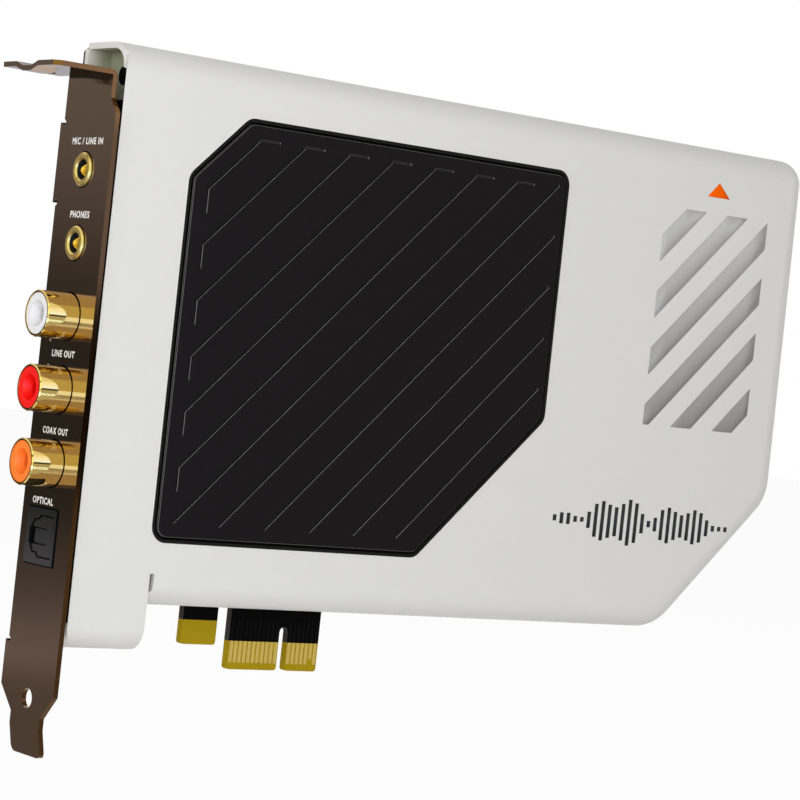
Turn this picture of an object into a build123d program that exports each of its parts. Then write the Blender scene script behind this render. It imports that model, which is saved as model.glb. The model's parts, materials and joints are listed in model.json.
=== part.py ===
"""Full-height sound card for an x1 expansion slot, as an assembly of separate pieces.

Frame: the origin is the middle of the key notch, on the lower edge of the edge connector, halfway through the
board. +X runs along the card away from its bracket, +Z runs up out of the slot, and -Y is the component side
that carries the shroud.
"""
import math
import os

from build123d import *

# Circuit board and its edge connector
BOARD_T = 1.57
BOARD_INSET = 0.3            # board edge behind the shroud's outline
BOARD_CORNER = 1.2           # cut corner at the bracket end
KEY_W = 1.9
KEY_TOP = 8.17
FIRST_CONTACT = 1.5          # key centre to the nearest contact centre
CONTACT_PITCH = 1.0
CONTACTS_BEFORE_KEY = 11
CONTACTS_AFTER_KEY = 7
CONTACT_W = 0.7
CONTACT_T = 0.06
CONTACT_BOTTOM = 1.3
CONTACT_TOP = 5.3
SHORT_CONTACT = 1.0          # the presence contact stops this much higher
TAB_MARGIN = 0.65            # last contact centre to the tab's side
TAB_R = 0.6
HOOK_LEFT = -22.7
HOOK_W = 7.55
HOOK_BOTTOM = 4.4
PIN_GAP = 0.07               # room round a pin in its slot
PIN_W = 0.8                  # flat blade pins
PIN_T = 0.4
PIN_TAIL = 1.3               # pin length behind the board

# Shroud, a shell that is open at the back and at the bracket end
SHROUD_LEFT = -55.0
SHROUD_LENGTH = 165.2
SHROUD_TOP = 109.9
SHROUD_BOTTOM = 12.35
SHROUD_DEPTH = 13.7          # board face to the shroud's front face
SHROUD_WALL = 1.1
EDGE_LAND = 0.1              # square land of the front wall's edge beside the bracket
SHROUD_FILLET = 4.6
SHROUD_CORNER_R = 5.0
BEVEL_LEG = 27.5
BEVEL_R = 10.0
FOOT_W = 15.6
FOOT_BOTTOM = 4.25
SLIT_W = 0.9
SLIT_LOW = 15.0
SLIT_HIGH = 18.2
BULKHEAD_INSET = 4.4
BULKHEAD_T = 1.2
BULKHEAD_LOW = 100.4
BULKHEAD_HOLE_R = 1.45
BULKHEAD_HOLE_DEPTH = 6.4    # hole centre in front of the board face
BULKHEAD_HOLE_DROP = 5.3     # hole centre below the shroud's top
BULKHEAD_RING_R = 2.6
BULKHEAD_RING_T = 0.4
CHEEK_T = 0.5                # wall on the board between the bulkhead and the open end
CHEEK_LIP = 0.2              # its lip past the board's edge
CHEEK_WRAP = 0.7             # that lip's lap over the edge
BOSS_R = 2.5
BOSS_PILOT_R = 1.25
BOSS_PILOT_DEPTH = 8.0
BOSS_EDGE = 7.0              # boss centre to the shroud's edges
BOSS_NEAR_EDGE = 5.4         # the same beside the bracket end and the foot

# Inlay panel, held behind a window in the shroud's front wall
PANEL_LEFT = -40.1
PANEL_RIGHT = 46.35
PANEL_BOTTOM = 23.7
PANEL_TOP = 100.2
PANEL_LEG_TOP = 11.5
PANEL_LEG_BOTTOM = 28.0
WINDOW_R = 3.0
PANEL_GAP = 1.0              # window edge to the raised field
PANEL_FLANGE = 2.0
PANEL_FLANGE_T = 1.2
PANEL_PROUD = 0.25
PANEL_BREAK = 0.2            # broken edge of the raised field
GROOVE_FIRST = 122.6         # height above the X axis origin where the first groove's line crosses X = 0
GROOVE_PITCH = 9.87
GROOVE_COUNT = 12
GROOVE_W = 0.4
GROOVE_DEPTH = 0.3
GROOVE_KINK = 4.3
GROOVE_MARGIN_LEFT = 4.1
GROOVE_MARGIN_TOP = 3.7
GROOVE_MARGIN_RIGHT = 2.7
GROOVE_MARGIN_BOTTOM = 3.5

# Slot bracket, folded from one sheet
PLATE_X = -56.67             # outer face
SHEET_T = 0.9
BRACKET_TOP = 104.76
BRACKET_HEIGHT = 120.02
PLATE_NEAR = -15.1           # component-side edge
PLATE_WIDTH = 18.42
NECK_STEP_NEAR = 2.1
NECK_STEP_FAR = 1.2
NECK_LOW_NEAR = 97.3
NECK_SLOPE = 2.5
NECK_LOW_FAR = 95.6
RELIEF_DEPTH = 1.05          # shallow cut along the solder-side edge
RELIEF_RISE = 7.9            # lower end of that cut above the shoulder
RELIEF_HIGH = 81.4
RELIEF_R = 0.55
SHOULDER_RISE = 11.26        # shoulder, bend and hole above the tongue's tip
SHOULDER_DROP = 4.2
TONGUE_W = 10.19
TONGUE_CENTRE = -6.14
TONGUE_BEND_RISE = 4.96
TONGUE_LEAN = 0.9
TONGUE_R = 1.3
PLATE_HOLE_R = 1.75
PLATE_HOLE_RISE = 9.91
FLANGE_DEPTH = 11.35
FLANGE_FAR = 5.5             # solder-side tip
FLANGE_CORNER = 1.2
BEND_R = 1.2
SLOT_W = 4.7                 # screw slot, open to the solder side
SLOT_INSET = 2.5             # plate face to the slot
SLOT_END = 0.3
CRIMP_DEPTH = 0.8
CRIMP_FAR = 1.0
CRIMP_SLOPE = 2.45
CRIMP_FLOOR = 2.75
LUG_LENGTH = 10.5
LUG_H = 5.6
LUG_TOP_Z = 97.1
LUG_LOW_Z = 11.4
LUG_SCREW = 6.5              # plate face to the lug's screw

# Screws
SCREW_R = 1.2
SCREW_HOLE_GAP = 0.2
SCREW_HEAD_R = 2.3
SCREW_HEAD_T = 1.5
SHROUD_SCREW_REACH = 6.0     # shank length in front of the board face
CROSS_W = 0.6
CROSS_L = 2.6
CROSS_DEPTH = 0.9

# Sockets on the bracket
PORT_TOP = 87.3
PORT_PITCH = 12.88
PORT_Y = -6.3
PORT_GAP = 0.25              # plate cut-out round a socket
BODY_GAP = 0.1               # plate to the socket bodies behind it
JACK_R = 3.0
JACK_BORE_R = 1.8
JACK_PROUD = 0.55
JACK_BREAK = 0.3
JACK_BODY_L = 14.0
JACK_BODY_W = 10.6
JACK_BODY_H = 11.0
JACK_BORE_L = 12.5
JACK_PIN_ROWS = (2.4, 6.8)
JACK_PIN_SPREAD = 3.6
JACK_TIP_PIN = 11.6
PHONO_R = 4.12
PHONO_WALL = 0.45
PHONO_PROUD = 6.3
PHONO_BREAK = 0.2
PHONO_NECK = 0.3             # the shell is drawn in by this much where it passes the plate
PHONO_PIN_R = 1.75
PHONO_FLARE_R = 2.3
PHONO_FLARE_L = 1.6
PHONO_RECESS = 0.15
PHONO_FIT = 0.04
PHONO_SLEEVE_WALL = 0.4
PHONO_SLEEVE_L = 8.6
PHONO_BODY_L = 10.0
PHONO_BODY_W = 11.2
PHONO_BODY_H = 11.2
PHONO_PIN_ROW = 2.6
PHONO_PIN_SPREAD = 3.6
PHONO_CENTRE_PIN = 7.6

# Optical socket with a sprung shutter
OPTICAL_Y = -5.2
OPTICAL_SIZE = 9.8
OPTICAL_PROUD = 0.25
OPTICAL_LIP = 1.05
OPTICAL_LENGTH = 11.0        # front face to the back of the chamber wall
OPTICAL_WALL = 0.9
OPTICAL_FLANGE = 0.5         # rim behind the plate's window
MOUTH_NEAR = 4.1
MOUTH_HALF = 3.75
MOUTH_STEP = 0.75
MOUTH_STEP_Y = 0.45
MOUTH_SHOULDER_Y = 2.4
MOUTH_FAR = 3.3
MOUTH_FAR_HALF = 1.8
KEYWAY_HALF = 1.45
KEYWAY_FAR = 3.8
SHUTTER_T = 0.8
SHUTTER_GAP = 0.15
SHUTTER_DISH = 0.3           # shallow square recess in the shutter's face
DISH_HALF = 1.45
DISH_NEAR = 2.9
DISH_FAR = 1.2
HINGE_Y = 2.75               # hinge axis from the socket's middle
HINGE_BACK = 1.15            # hinge axis behind the lip
HINGE_PIN_R = 0.4
HINGE_RUN = 0.08
KNUCKLE_R = 0.95
KNUCKLE_HALF = 1.5
HINGE_CLEAR = 1.25           # shutter plate to the hinge axis beside the knuckle
PIN_SEAT = 0.5
PIN_SEAT_GAP = 0.03
SPRING_WIRE = 0.26           # square wire
SPRING_R = 0.68
SPRING_PITCH = 0.42
SPRING_TURNS = 2
LENS_R = 1.2
LENS_PROUD = 0.4
RECEIVER_L = 3.0
RECEIVER_MARGIN = 1.2
OPTICAL_PIN_ROW = 1.5
OPTICAL_PIN_PITCH = 2.54
PEG_R = 0.75
PEG_GAP = 0.12
PEG_SPREAD = 3.4

# Chips and other parts on the board's component side: wide, tall and, for those without leads, high
LEAD_L = 1.0
LEAD_W = 0.4
LEAD_T = 0.25
LEAD_PITCH = 1.27
CHIP_T = 1.5
PROCESSOR = (14.0, 14.0)
OUTPUT_CONVERTER = (7.5, 10.2)
INPUT_CONVERTER = (6.0, 8.0)
HEADPHONE_AMPLIFIER = (5.0, 6.5)
BUS_BRIDGE = (9.0, 9.0)
FLASH_MEMORY = (5.0, 5.2)
OP_AMP = (4.0, 5.2)
REGULATOR = (3.5, 6.5)
OSCILLATOR = (7.0, 5.0, 1.6)
RELAY = (7.2, 10.2, 5.4)
FILM_CAPACITOR = (2.6, 7.2, 6.6)
INDUCTOR = (6.2, 6.2, 3.0)
CAN_R = 4.0
CAN_H = 10.0
CAN_BREAK = 0.5
CAN_PITCH = 10.5
POWER_INSET = 21.85          # shroud's right side to the nearest column of cans

BOARD_FRONT = -BOARD_T / 2
BOARD_BACK = BOARD_T / 2
SHROUD_RIGHT = SHROUD_LEFT + SHROUD_LENGTH
SHROUD_FRONT = BOARD_FRONT - SHROUD_DEPTH
SHROUD_INSIDE = SHROUD_FRONT + SHROUD_WALL
FOOT_RIGHT = SHROUD_LEFT + FOOT_W
PLATE_IN = PLATE_X + SHEET_T
PLATE_FAR = PLATE_NEAR + PLATE_WIDTH
BRACKET_TIP = BRACKET_TOP - BRACKET_HEIGHT
SHOULDER_Z = BRACKET_TIP + SHOULDER_RISE
RELIEF_LOW = SHOULDER_Z + RELIEF_RISE
TONGUE_BEND_Z = BRACKET_TIP + TONGUE_BEND_RISE
PLATE_HOLE_Z = BRACKET_TIP + PLATE_HOLE_RISE
BODY_X = PLATE_IN + BODY_GAP
TAB_LEFT = -(FIRST_CONTACT + (CONTACTS_BEFORE_KEY - 1) * CONTACT_PITCH + TAB_MARGIN)
TAB_RIGHT = FIRST_CONTACT + (CONTACTS_AFTER_KEY - 1) * CONTACT_PITCH + TAB_MARGIN
OPTICAL_FRONT = PLATE_X - OPTICAL_PROUD
OPTICAL_BACK = OPTICAL_FRONT + OPTICAL_LENGTH
HINGE_X = OPTICAL_FRONT + OPTICAL_LIP + HINGE_BACK
HINGE_AXIS_Y = OPTICAL_Y + HINGE_Y
JACKS = ("mic_jack", "phones_jack")
PHONOS = ("left_phono", "right_phono", "coax_phono")


def port_z(place):
    """Height of a socket, counted from the top of the bracket."""
    return PORT_TOP - place * PORT_PITCH


JACK_Z = [port_z(n) for n in range(len(JACKS))]
PHONO_Z = [port_z(len(JACKS) + n) for n in range(len(PHONOS))]
OPTICAL_Z = port_z(len(JACKS) + len(PHONOS))
LUG_X = PLATE_X + LUG_SCREW
LUG_SPOTS = [(LUG_X, LUG_TOP_Z), (LUG_X, LUG_LOW_Z)]
BOSS_SPOTS = [
    (SHROUD_LEFT + 2 * BOSS_NEAR_EDGE, SHROUD_TOP - BOSS_NEAR_EDGE),
    (PANEL_RIGHT + 2 * BOSS_EDGE, SHROUD_TOP - BOSS_EDGE),
    (SHROUD_RIGHT - BOSS_EDGE, SHROUD_TOP - BOSS_EDGE),
    (SHROUD_RIGHT - BOSS_EDGE, SHROUD_BOTTOM + BEVEL_LEG + BOSS_EDGE),
    (SHROUD_RIGHT - BEVEL_LEG - 3 * BOSS_EDGE, SHROUD_BOTTOM + BOSS_EDGE),
    (FOOT_RIGHT + BOSS_NEAR_EDGE, SHROUD_BOTTOM + BOSS_NEAR_EDGE),
]


def front(y):
    """Plane facing the component side at a given Y; its axes are X and Z."""
    return Plane.XZ.offset(-y)


def side(x):
    """Plane facing along the card at a given X; its axes are Y and Z."""
    return Plane.YZ.offset(x)


def rect(a0, a1, b0, b1):
    """Rectangle between two corners of a sketch."""
    return Pos((a0 + a1) / 2, (b0 + b1) / 2) * Rectangle(a1 - a0, b1 - b0)


def slab(x0, x1, y0, y1, z0, z1):
    """Block between two corners."""
    return Pos((x0 + x1) / 2, (y0 + y1) / 2, (z0 + z1) / 2) * Box(x1 - x0, y1 - y0, z1 - z0)


def rod_x(x0, x1, y, z, r):
    """Round bar along X."""
    return extrude(side(x0) * Pos(y, z) * Circle(r), x1 - x0)


def rod_y(x, z, back, ahead, r):
    """Round bar along Y, from its back end to its front end."""
    return extrude(front(back) * Pos(x, z) * Circle(r), back - ahead)


def rod_z(x, y, z0, z1, r):
    """Round bar along Z."""
    return extrude(Plane.XY.offset(z0) * Pos(x, y) * Circle(r), z1 - z0)


def turned(points, y, z):
    """Turned piece on an axis along X, from a half profile of X and radius."""
    return Pos(0, y, z) * revolve(make_face(Polyline(*points, close=True)), Axis.X)


def shroud_outline(inset):
    """Front outline of the shroud right of its foot, drawn in by an inset."""
    right = SHROUD_RIGHT - inset
    low = SHROUD_BOTTOM + inset
    high = SHROUD_TOP - inset
    bevel = SHROUD_RIGHT - SHROUD_BOTTOM - BEVEL_LEG - inset * math.sqrt(2)
    left = FOOT_RIGHT
    points = [(left, low), (low + bevel, low), (right, right - bevel), (right, high), (left, high)]
    radii = [0, BEVEL_R - inset, BEVEL_R - inset, SHROUD_CORNER_R - inset, 0]
    return make_face(FilletPolyline(*points, radius=radii, close=True))


def panel_outline(inset):
    """Outline of the window and the panel in it, drawn in by an inset or out by a negative one."""
    left, right = PANEL_LEFT + inset, PANEL_RIGHT - inset
    low, high = PANEL_BOTTOM + inset, PANEL_TOP - inset
    top_line = PANEL_TOP - PANEL_LEFT - PANEL_LEG_TOP - inset * math.sqrt(2)
    low_line = PANEL_RIGHT - PANEL_BOTTOM - PANEL_LEG_BOTTOM - inset * math.sqrt(2)
    points = [
        (left, low), (low + low_line, low), (right, right - low_line),
        (right, high), (high - top_line, high), (left, left + top_line),
    ]
    return make_face(FilletPolyline(*points, radius=WINDOW_R - inset, close=True))


def channel_profile(low, inset):
    """Section of the shroud across the card, down to a lower edge, drawn in by an inset."""
    ahead, bottom, top = SHROUD_FRONT + inset, low + inset, SHROUD_TOP - inset
    points = [(BOARD_FRONT, bottom), (ahead, bottom), (ahead, top), (BOARD_FRONT, top)]
    bend = SHROUD_FILLET - inset
    return make_face(FilletPolyline(*points, radius=[0, bend, bend, 0], close=True))


def shroud_form(inset):
    """Rounded body of the shroud right of its foot, drawn in by an inset."""
    form = extrude(front(BOARD_FRONT) * shroud_outline(inset), SHROUD_DEPTH - inset)
    rim = form.edges().group_by(Axis.Y)[0]
    open_end = rim.sort_by(Axis.X)[0]
    return fillet([edge for edge in rim if edge != open_end], SHROUD_FILLET - inset)


def make_shroud():
    """Formed shell with its foot, bend slit, end bulkhead, cheek, window and screw bosses."""
    shell = shroud_form(0) - shroud_form(SHROUD_WALL)
    foot_outer = channel_profile(FOOT_BOTTOM, 0)
    foot_inner = channel_profile(FOOT_BOTTOM, SHROUD_WALL)
    shell += extrude(side(SHROUD_LEFT) * (foot_outer - foot_inner), FOOT_W)
    foot_end = extrude(side(FOOT_RIGHT - SHROUD_WALL) * foot_outer, SHROUD_WALL)
    foot_top = SHROUD_BOTTOM + SHROUD_FILLET
    foot_end &= slab(SHROUD_LEFT, FOOT_RIGHT, SHROUD_FRONT, BOARD_FRONT, FOOT_BOTTOM, foot_top)
    inside = channel_profile(SHROUD_BOTTOM, SHROUD_WALL)
    shell += foot_end - extrude(side(SHROUD_LEFT) * inside, SHROUD_LENGTH)
    land = SHROUD_FRONT + EDGE_LAND
    thin = SHROUD_LEFT + SHROUD_INSIDE - land
    bevel = make_face(Polyline((SHROUD_LEFT, land), (SHROUD_LEFT, SHROUD_INSIDE), (thin, SHROUD_INSIDE), close=True))
    shell -= extrude(Plane.XY.offset(FOOT_BOTTOM) * bevel, SHROUD_TOP - FOOT_BOTTOM)
    slit_back = SHROUD_INSIDE + SHROUD_WALL
    shell -= slab(FOOT_RIGHT, FOOT_RIGHT + SLIT_W, SHROUD_FRONT, slit_back, SLIT_LOW, SLIT_HIGH)

    wall_x = SHROUD_LEFT + BULKHEAD_INSET
    hole_y, hole_z = BOARD_FRONT - BULKHEAD_HOLE_DEPTH, SHROUD_TOP - BULKHEAD_HOLE_DROP
    bulkhead = extrude(side(wall_x) * channel_profile(FOOT_BOTTOM, 0), BULKHEAD_T)
    bulkhead &= slab(wall_x, wall_x + BULKHEAD_T, SHROUD_FRONT, BOARD_FRONT, BULKHEAD_LOW, SHROUD_TOP)
    bulkhead += rod_x(wall_x - BULKHEAD_RING_T, wall_x, hole_y, hole_z, BULKHEAD_RING_R)
    shell += bulkhead - rod_x(wall_x - BULKHEAD_RING_T, wall_x + BULKHEAD_T, hole_y, hole_z, BULKHEAD_HOLE_R)
    lip_x, lip_y = SHROUD_LEFT - CHEEK_LIP, BOARD_FRONT + CHEEK_WRAP
    shell += slab(lip_x, wall_x, BOARD_FRONT - CHEEK_T, BOARD_FRONT, BULKHEAD_LOW, SHROUD_TOP - SHROUD_WALL)
    shell += slab(lip_x, SHROUD_LEFT, BOARD_FRONT - CHEEK_T, lip_y, BULKHEAD_LOW, SHROUD_TOP - SHROUD_WALL)

    for x, z in BOSS_SPOTS:
        shell += rod_y(x, z, BOARD_FRONT, SHROUD_INSIDE - SHROUD_WALL / 4, BOSS_R)
    for x, z in BOSS_SPOTS:
        shell -= rod_y(x, z, BOARD_FRONT, BOARD_FRONT - BOSS_PILOT_DEPTH, BOSS_PILOT_R)
    return shell - extrude(front(SHROUD_INSIDE) * panel_outline(0), SHROUD_WALL)


def groove_points(index):
    """Points of one diagonal groove, with a kink at an end that has room for it."""
    left, right = PANEL_LEFT + GROOVE_MARGIN_LEFT, PANEL_RIGHT - GROOVE_MARGIN_RIGHT
    low, high = PANEL_BOTTOM + GROOVE_MARGIN_BOTTOM, PANEL_TOP - GROOVE_MARGIN_TOP
    line = GROOVE_FIRST - index * GROOVE_PITCH
    start = (left, left + line) if left + line > low else (low - line, low)
    points = [start]
    if start[0] == left and start[1] - GROOVE_KINK > low:
        points.insert(0, (left, start[1] - GROOVE_KINK))
    if high - line + GROOVE_KINK < right:
        points += [(high - line, high), (high - line + GROOVE_KINK, high)]
    else:
        points.append((right, right + line))
    return points


def make_panel():
    """Panel with a flange behind the window, a raised field and its diagonal grooves."""
    field_front = SHROUD_FRONT - PANEL_PROUD
    flange = extrude(front(SHROUD_INSIDE + PANEL_FLANGE_T) * panel_outline(-PANEL_FLANGE), PANEL_FLANGE_T)
    field = extrude(front(SHROUD_INSIDE) * panel_outline(PANEL_GAP), SHROUD_INSIDE - field_front)
    field = chamfer(field.edges().group_by(Axis.Y)[0], PANEL_BREAK)
    panel = flange + field
    for index in range(GROOVE_COUNT):
        groove = trace(Polyline(*groove_points(index)), GROOVE_W)
        panel -= extrude(front(field_front + GROOVE_DEPTH) * groove, GROOVE_DEPTH)
    return panel


def jack_pins(z):
    """Places of a jack's board pins."""
    rows = [(BODY_X + x, z + s * JACK_PIN_SPREAD) for x in JACK_PIN_ROWS for s in (-1, 1)]
    return rows + [(BODY_X + JACK_TIP_PIN, z)]


def phono_pins(z):
    """Places of a phono socket's board pins."""
    rows = [(BODY_X + PHONO_PIN_ROW, z + s * PHONO_PIN_SPREAD) for s in (-1, 1)]
    return rows + [(BODY_X + PHONO_CENTRE_PIN, z)]


def receiver_pins():
    """Places of the optical receiver's board pins."""
    return [(OPTICAL_BACK + OPTICAL_PIN_ROW, OPTICAL_Z + n * OPTICAL_PIN_PITCH) for n in (-1, 0, 1)]


def peg_spots():
    """Places of the optical socket's two locating pegs."""
    return [((BODY_X + OPTICAL_BACK) / 2, OPTICAL_Z + s * PEG_SPREAD) for s in (-1, 1)]


def make_board():
    """Board with its connector tab, key notch, locking tab and drilled holes."""
    outline = shroud_outline(BOARD_INSET)
    high = SHROUD_TOP - BOARD_INSET
    foot = [
        (SHROUD_LEFT, FOOT_BOTTOM + BOARD_INSET), (FOOT_RIGHT, FOOT_BOTTOM + BOARD_INSET), (FOOT_RIGHT, high),
        (SHROUD_LEFT + BOARD_CORNER, high), (SHROUD_LEFT, high - BOARD_CORNER),
    ]
    outline += make_face(Polyline(*foot, close=True))
    for left, right, low in ((TAB_LEFT, TAB_RIGHT, 0), (HOOK_LEFT, HOOK_LEFT + HOOK_W, HOOK_BOTTOM)):
        root = SHROUD_BOTTOM + BOARD_T
        tab = [(left, root), (left, low), (right, low), (right, root)]
        outline += make_face(FilletPolyline(*tab, radius=[0, TAB_R, TAB_R, 0], close=True))
    notch_r = KEY_W / 2
    outline -= rect(-notch_r, notch_r, 0, KEY_TOP - notch_r) + Pos(0, KEY_TOP - notch_r) * Circle(notch_r)
    outline = fillet(outline.vertices().sort_by_distance((0, 0))[:2], TAB_R)
    spots = [spot for z in JACK_Z for spot in jack_pins(z)]
    spots += [spot for z in PHONO_Z for spot in phono_pins(z)] + receiver_pins()
    slot = Rectangle(PIN_W + 2 * PIN_GAP, PIN_T + 2 * PIN_GAP)
    outline -= [Pos(x, z) * slot for x, z in spots]
    outline -= [Pos(x, z) * Circle(PEG_R + PEG_GAP) for x, z in peg_spots()]
    outline -= [Pos(x, z) * Circle(SCREW_R + SCREW_HOLE_GAP) for x, z in BOSS_SPOTS + LUG_SPOTS]
    return extrude(front(BOARD_BACK) * outline, BOARD_T)


def make_contacts():
    """Gilt contact fingers on both faces of the connector tab."""
    places = [-(FIRST_CONTACT + n * CONTACT_PITCH) for n in range(CONTACTS_BEFORE_KEY)]
    places += [FIRST_CONTACT + n * CONTACT_PITCH for n in range(CONTACTS_AFTER_KEY)]
    fingers = []
    for index, x in enumerate(places):
        low = CONTACT_BOTTOM + (SHORT_CONTACT if index == len(places) - 2 else 0)
        x0, x1 = x - CONTACT_W / 2, x + CONTACT_W / 2
        fingers.append(slab(x0, x1, BOARD_FRONT - CONTACT_T, BOARD_FRONT, low, CONTACT_TOP))
        fingers.append(slab(x0, x1, BOARD_BACK, BOARD_BACK + CONTACT_T, low, CONTACT_TOP))
    return Part() + fingers


def plate_outline():
    """Outline of the bracket's plate and tongue, across the card and up."""
    neck_near, neck_far = PLATE_NEAR + NECK_STEP_NEAR, PLATE_FAR - NECK_STEP_FAR
    relief = PLATE_FAR - RELIEF_DEPTH
    near, far = TONGUE_CENTRE - TONGUE_W / 2, TONGUE_CENTRE + TONGUE_W / 2
    low = SHOULDER_Z - SHOULDER_DROP
    points = [
        (neck_near, BRACKET_TOP), (neck_near, NECK_LOW_NEAR + NECK_SLOPE), (PLATE_NEAR, NECK_LOW_NEAR),
        (PLATE_NEAR, SHOULDER_Z), (near, low), (near, BRACKET_TIP), (far, BRACKET_TIP), (far, low),
        (PLATE_FAR, SHOULDER_Z), (PLATE_FAR, RELIEF_LOW), (relief, RELIEF_LOW), (relief, RELIEF_HIGH),
        (PLATE_FAR, RELIEF_HIGH), (PLATE_FAR, NECK_LOW_FAR), (neck_far, NECK_LOW_FAR), (neck_far, BRACKET_TOP),
    ]
    radii = [TONGUE_R if point[1] == BRACKET_TIP else 0 for point in points]
    outline = make_face(FilletPolyline(*points, radius=radii, close=True))
    outline -= [Pos(relief, z) * Circle(RELIEF_R) for z in (RELIEF_LOW, RELIEF_HIGH)]
    outline -= Pos(neck_far, NECK_LOW_FAR) * Circle(RELIEF_R)
    outline -= Pos(TONGUE_CENTRE, PLATE_HOLE_Z) * Circle(PLATE_HOLE_R)
    outline -= [Pos(PORT_Y, z) * Circle(JACK_R + PORT_GAP) for z in JACK_Z]
    outline -= [Pos(PORT_Y, z) * Circle(PHONO_R + PORT_GAP) for z in PHONO_Z]
    window = OPTICAL_SIZE + 2 * PORT_GAP
    return outline - Pos(OPTICAL_Y, OPTICAL_Z) * Rectangle(window, window)


def make_flange():
    """Screw flange with an open slot and a shallow crimp pressed into its outer arm."""
    outer, near = PLATE_X - FLANGE_DEPTH, PLATE_NEAR + NECK_STEP_NEAR
    slot_x0, slot_x1 = PLATE_X - SLOT_INSET - SLOT_W, PLATE_X - SLOT_INSET
    top, under = BRACKET_TOP, BRACKET_TOP - SHEET_T
    plan = [
        (PLATE_IN, near), (outer + FLANGE_CORNER, near), (outer, near + FLANGE_CORNER), (outer, FLANGE_FAR),
        (PLATE_X, FLANGE_FAR), (PLATE_X, PLATE_FAR - NECK_STEP_FAR), (PLATE_IN, PLATE_FAR - NECK_STEP_FAR),
    ]
    outline = make_face(Polyline(*plan, close=True))
    outline -= rect(slot_x0, slot_x1, SLOT_END + SLOT_W / 2, FLANGE_FAR)
    outline -= Pos((slot_x0 + slot_x1) / 2, SLOT_END + SLOT_W / 2) * Circle(SLOT_W / 2)
    flange = extrude(Plane.XY.offset(under) * outline, SHEET_T)

    floor_far = CRIMP_FAR - CRIMP_SLOPE
    floor_near = floor_far - CRIMP_FLOOR
    crimp_near = floor_near - CRIMP_SLOPE
    line = [(CRIMP_FAR, 0), (floor_far, -CRIMP_DEPTH), (floor_near, -CRIMP_DEPTH), (crimp_near, 0)]
    section = [(y, top + z) for y, z in line] + [(y, under + z) for y, z in reversed(line)]
    crimp = extrude(side(outer) * make_face(Polyline(*section, close=True)), slot_x0 - outer)
    return flange - slab(outer, slot_x0, crimp_near, CRIMP_FAR, under, top) + crimp


def make_bracket():
    """Bracket: plate with a bent tongue, screw flange and two lugs that lie on the board."""
    sheet = [
        (PLATE_X, BRACKET_TOP), (PLATE_X, TONGUE_BEND_Z), (PLATE_X + TONGUE_LEAN, BRACKET_TIP),
        (PLATE_IN + TONGUE_LEAN, BRACKET_TIP), (PLATE_IN, TONGUE_BEND_Z), (PLATE_IN, BRACKET_TOP),
    ]
    plate = extrude(front(PLATE_FAR) * make_face(Polyline(*sheet, close=True)), PLATE_WIDTH)
    plate &= extrude(side(PLATE_X) * plate_outline(), SHEET_T + TONGUE_LEAN)
    bracket = plate + make_flange()
    bend = bracket.edges().filter_by(Axis.Y).sort_by_distance((PLATE_IN, PORT_Y, BRACKET_TOP))[0]
    bracket = fillet(bend, BEND_R)
    for x, z in LUG_SPOTS:
        lug_y = BOARD_FRONT - SHEET_T
        bracket += slab(PLATE_IN, PLATE_X + LUG_LENGTH, lug_y, BOARD_FRONT, z - LUG_H / 2, z + LUG_H / 2)
        bracket -= rod_y(x, z, BOARD_FRONT, lug_y, SCREW_R + SCREW_HOLE_GAP / 2)
    return bracket


def make_screw(x, z, reach):
    """Screw with a chamfered head on the back of the board and a cross recess."""
    head = rod_y(x, z, BOARD_BACK + SCREW_HEAD_T, BOARD_BACK, SCREW_HEAD_R)
    head = chamfer(head.edges().group_by(Axis.Y)[-1], SCREW_HEAD_T / 3)
    for wide, tall in ((CROSS_L, CROSS_W), (CROSS_W, CROSS_L)):
        cut = front(BOARD_BACK + SCREW_HEAD_T) * Pos(x, z) * Rectangle(wide, tall)
        head -= extrude(cut, CROSS_DEPTH)
    return head + rod_y(x, z, BOARD_BACK, BOARD_FRONT - reach, SCREW_R)


def blade_pin(x, z):
    """Flat board pin with a tail behind the board."""
    x0, z0 = x - PIN_W / 2, z - PIN_T / 2
    return slab(x0, x0 + PIN_W, BOARD_FRONT, BOARD_BACK + PIN_TAIL, z0, z0 + PIN_T)


def jack_nodes(name, z):
    """One 3.5 mm jack: turned collar, moulded body and pins."""
    face = PLATE_X - JACK_PROUD
    collar = turned([
        (face, JACK_BORE_R + JACK_BREAK), (face, JACK_R - JACK_BREAK), (face + JACK_BREAK, JACK_R),
        (BODY_X, JACK_R), (BODY_X, JACK_BORE_R), (face + JACK_BREAK, JACK_BORE_R),
    ], PORT_Y, z)
    body = slab(BODY_X, BODY_X + JACK_BODY_L, BOARD_FRONT - JACK_BODY_H, BOARD_FRONT,
                z - JACK_BODY_W / 2, z + JACK_BODY_W / 2)
    body = chamfer(body.edges().filter_by(Axis.X).group_by(Axis.Y)[0], JACK_BREAK)
    body -= rod_x(BODY_X, BODY_X + JACK_BORE_L, PORT_Y, z, JACK_BORE_R)
    pins = [blade_pin(*spot) for spot in jack_pins(z)]
    return {name + "_collar": collar, name + "_body": body, name + "_pins": Part() + pins}


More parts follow.
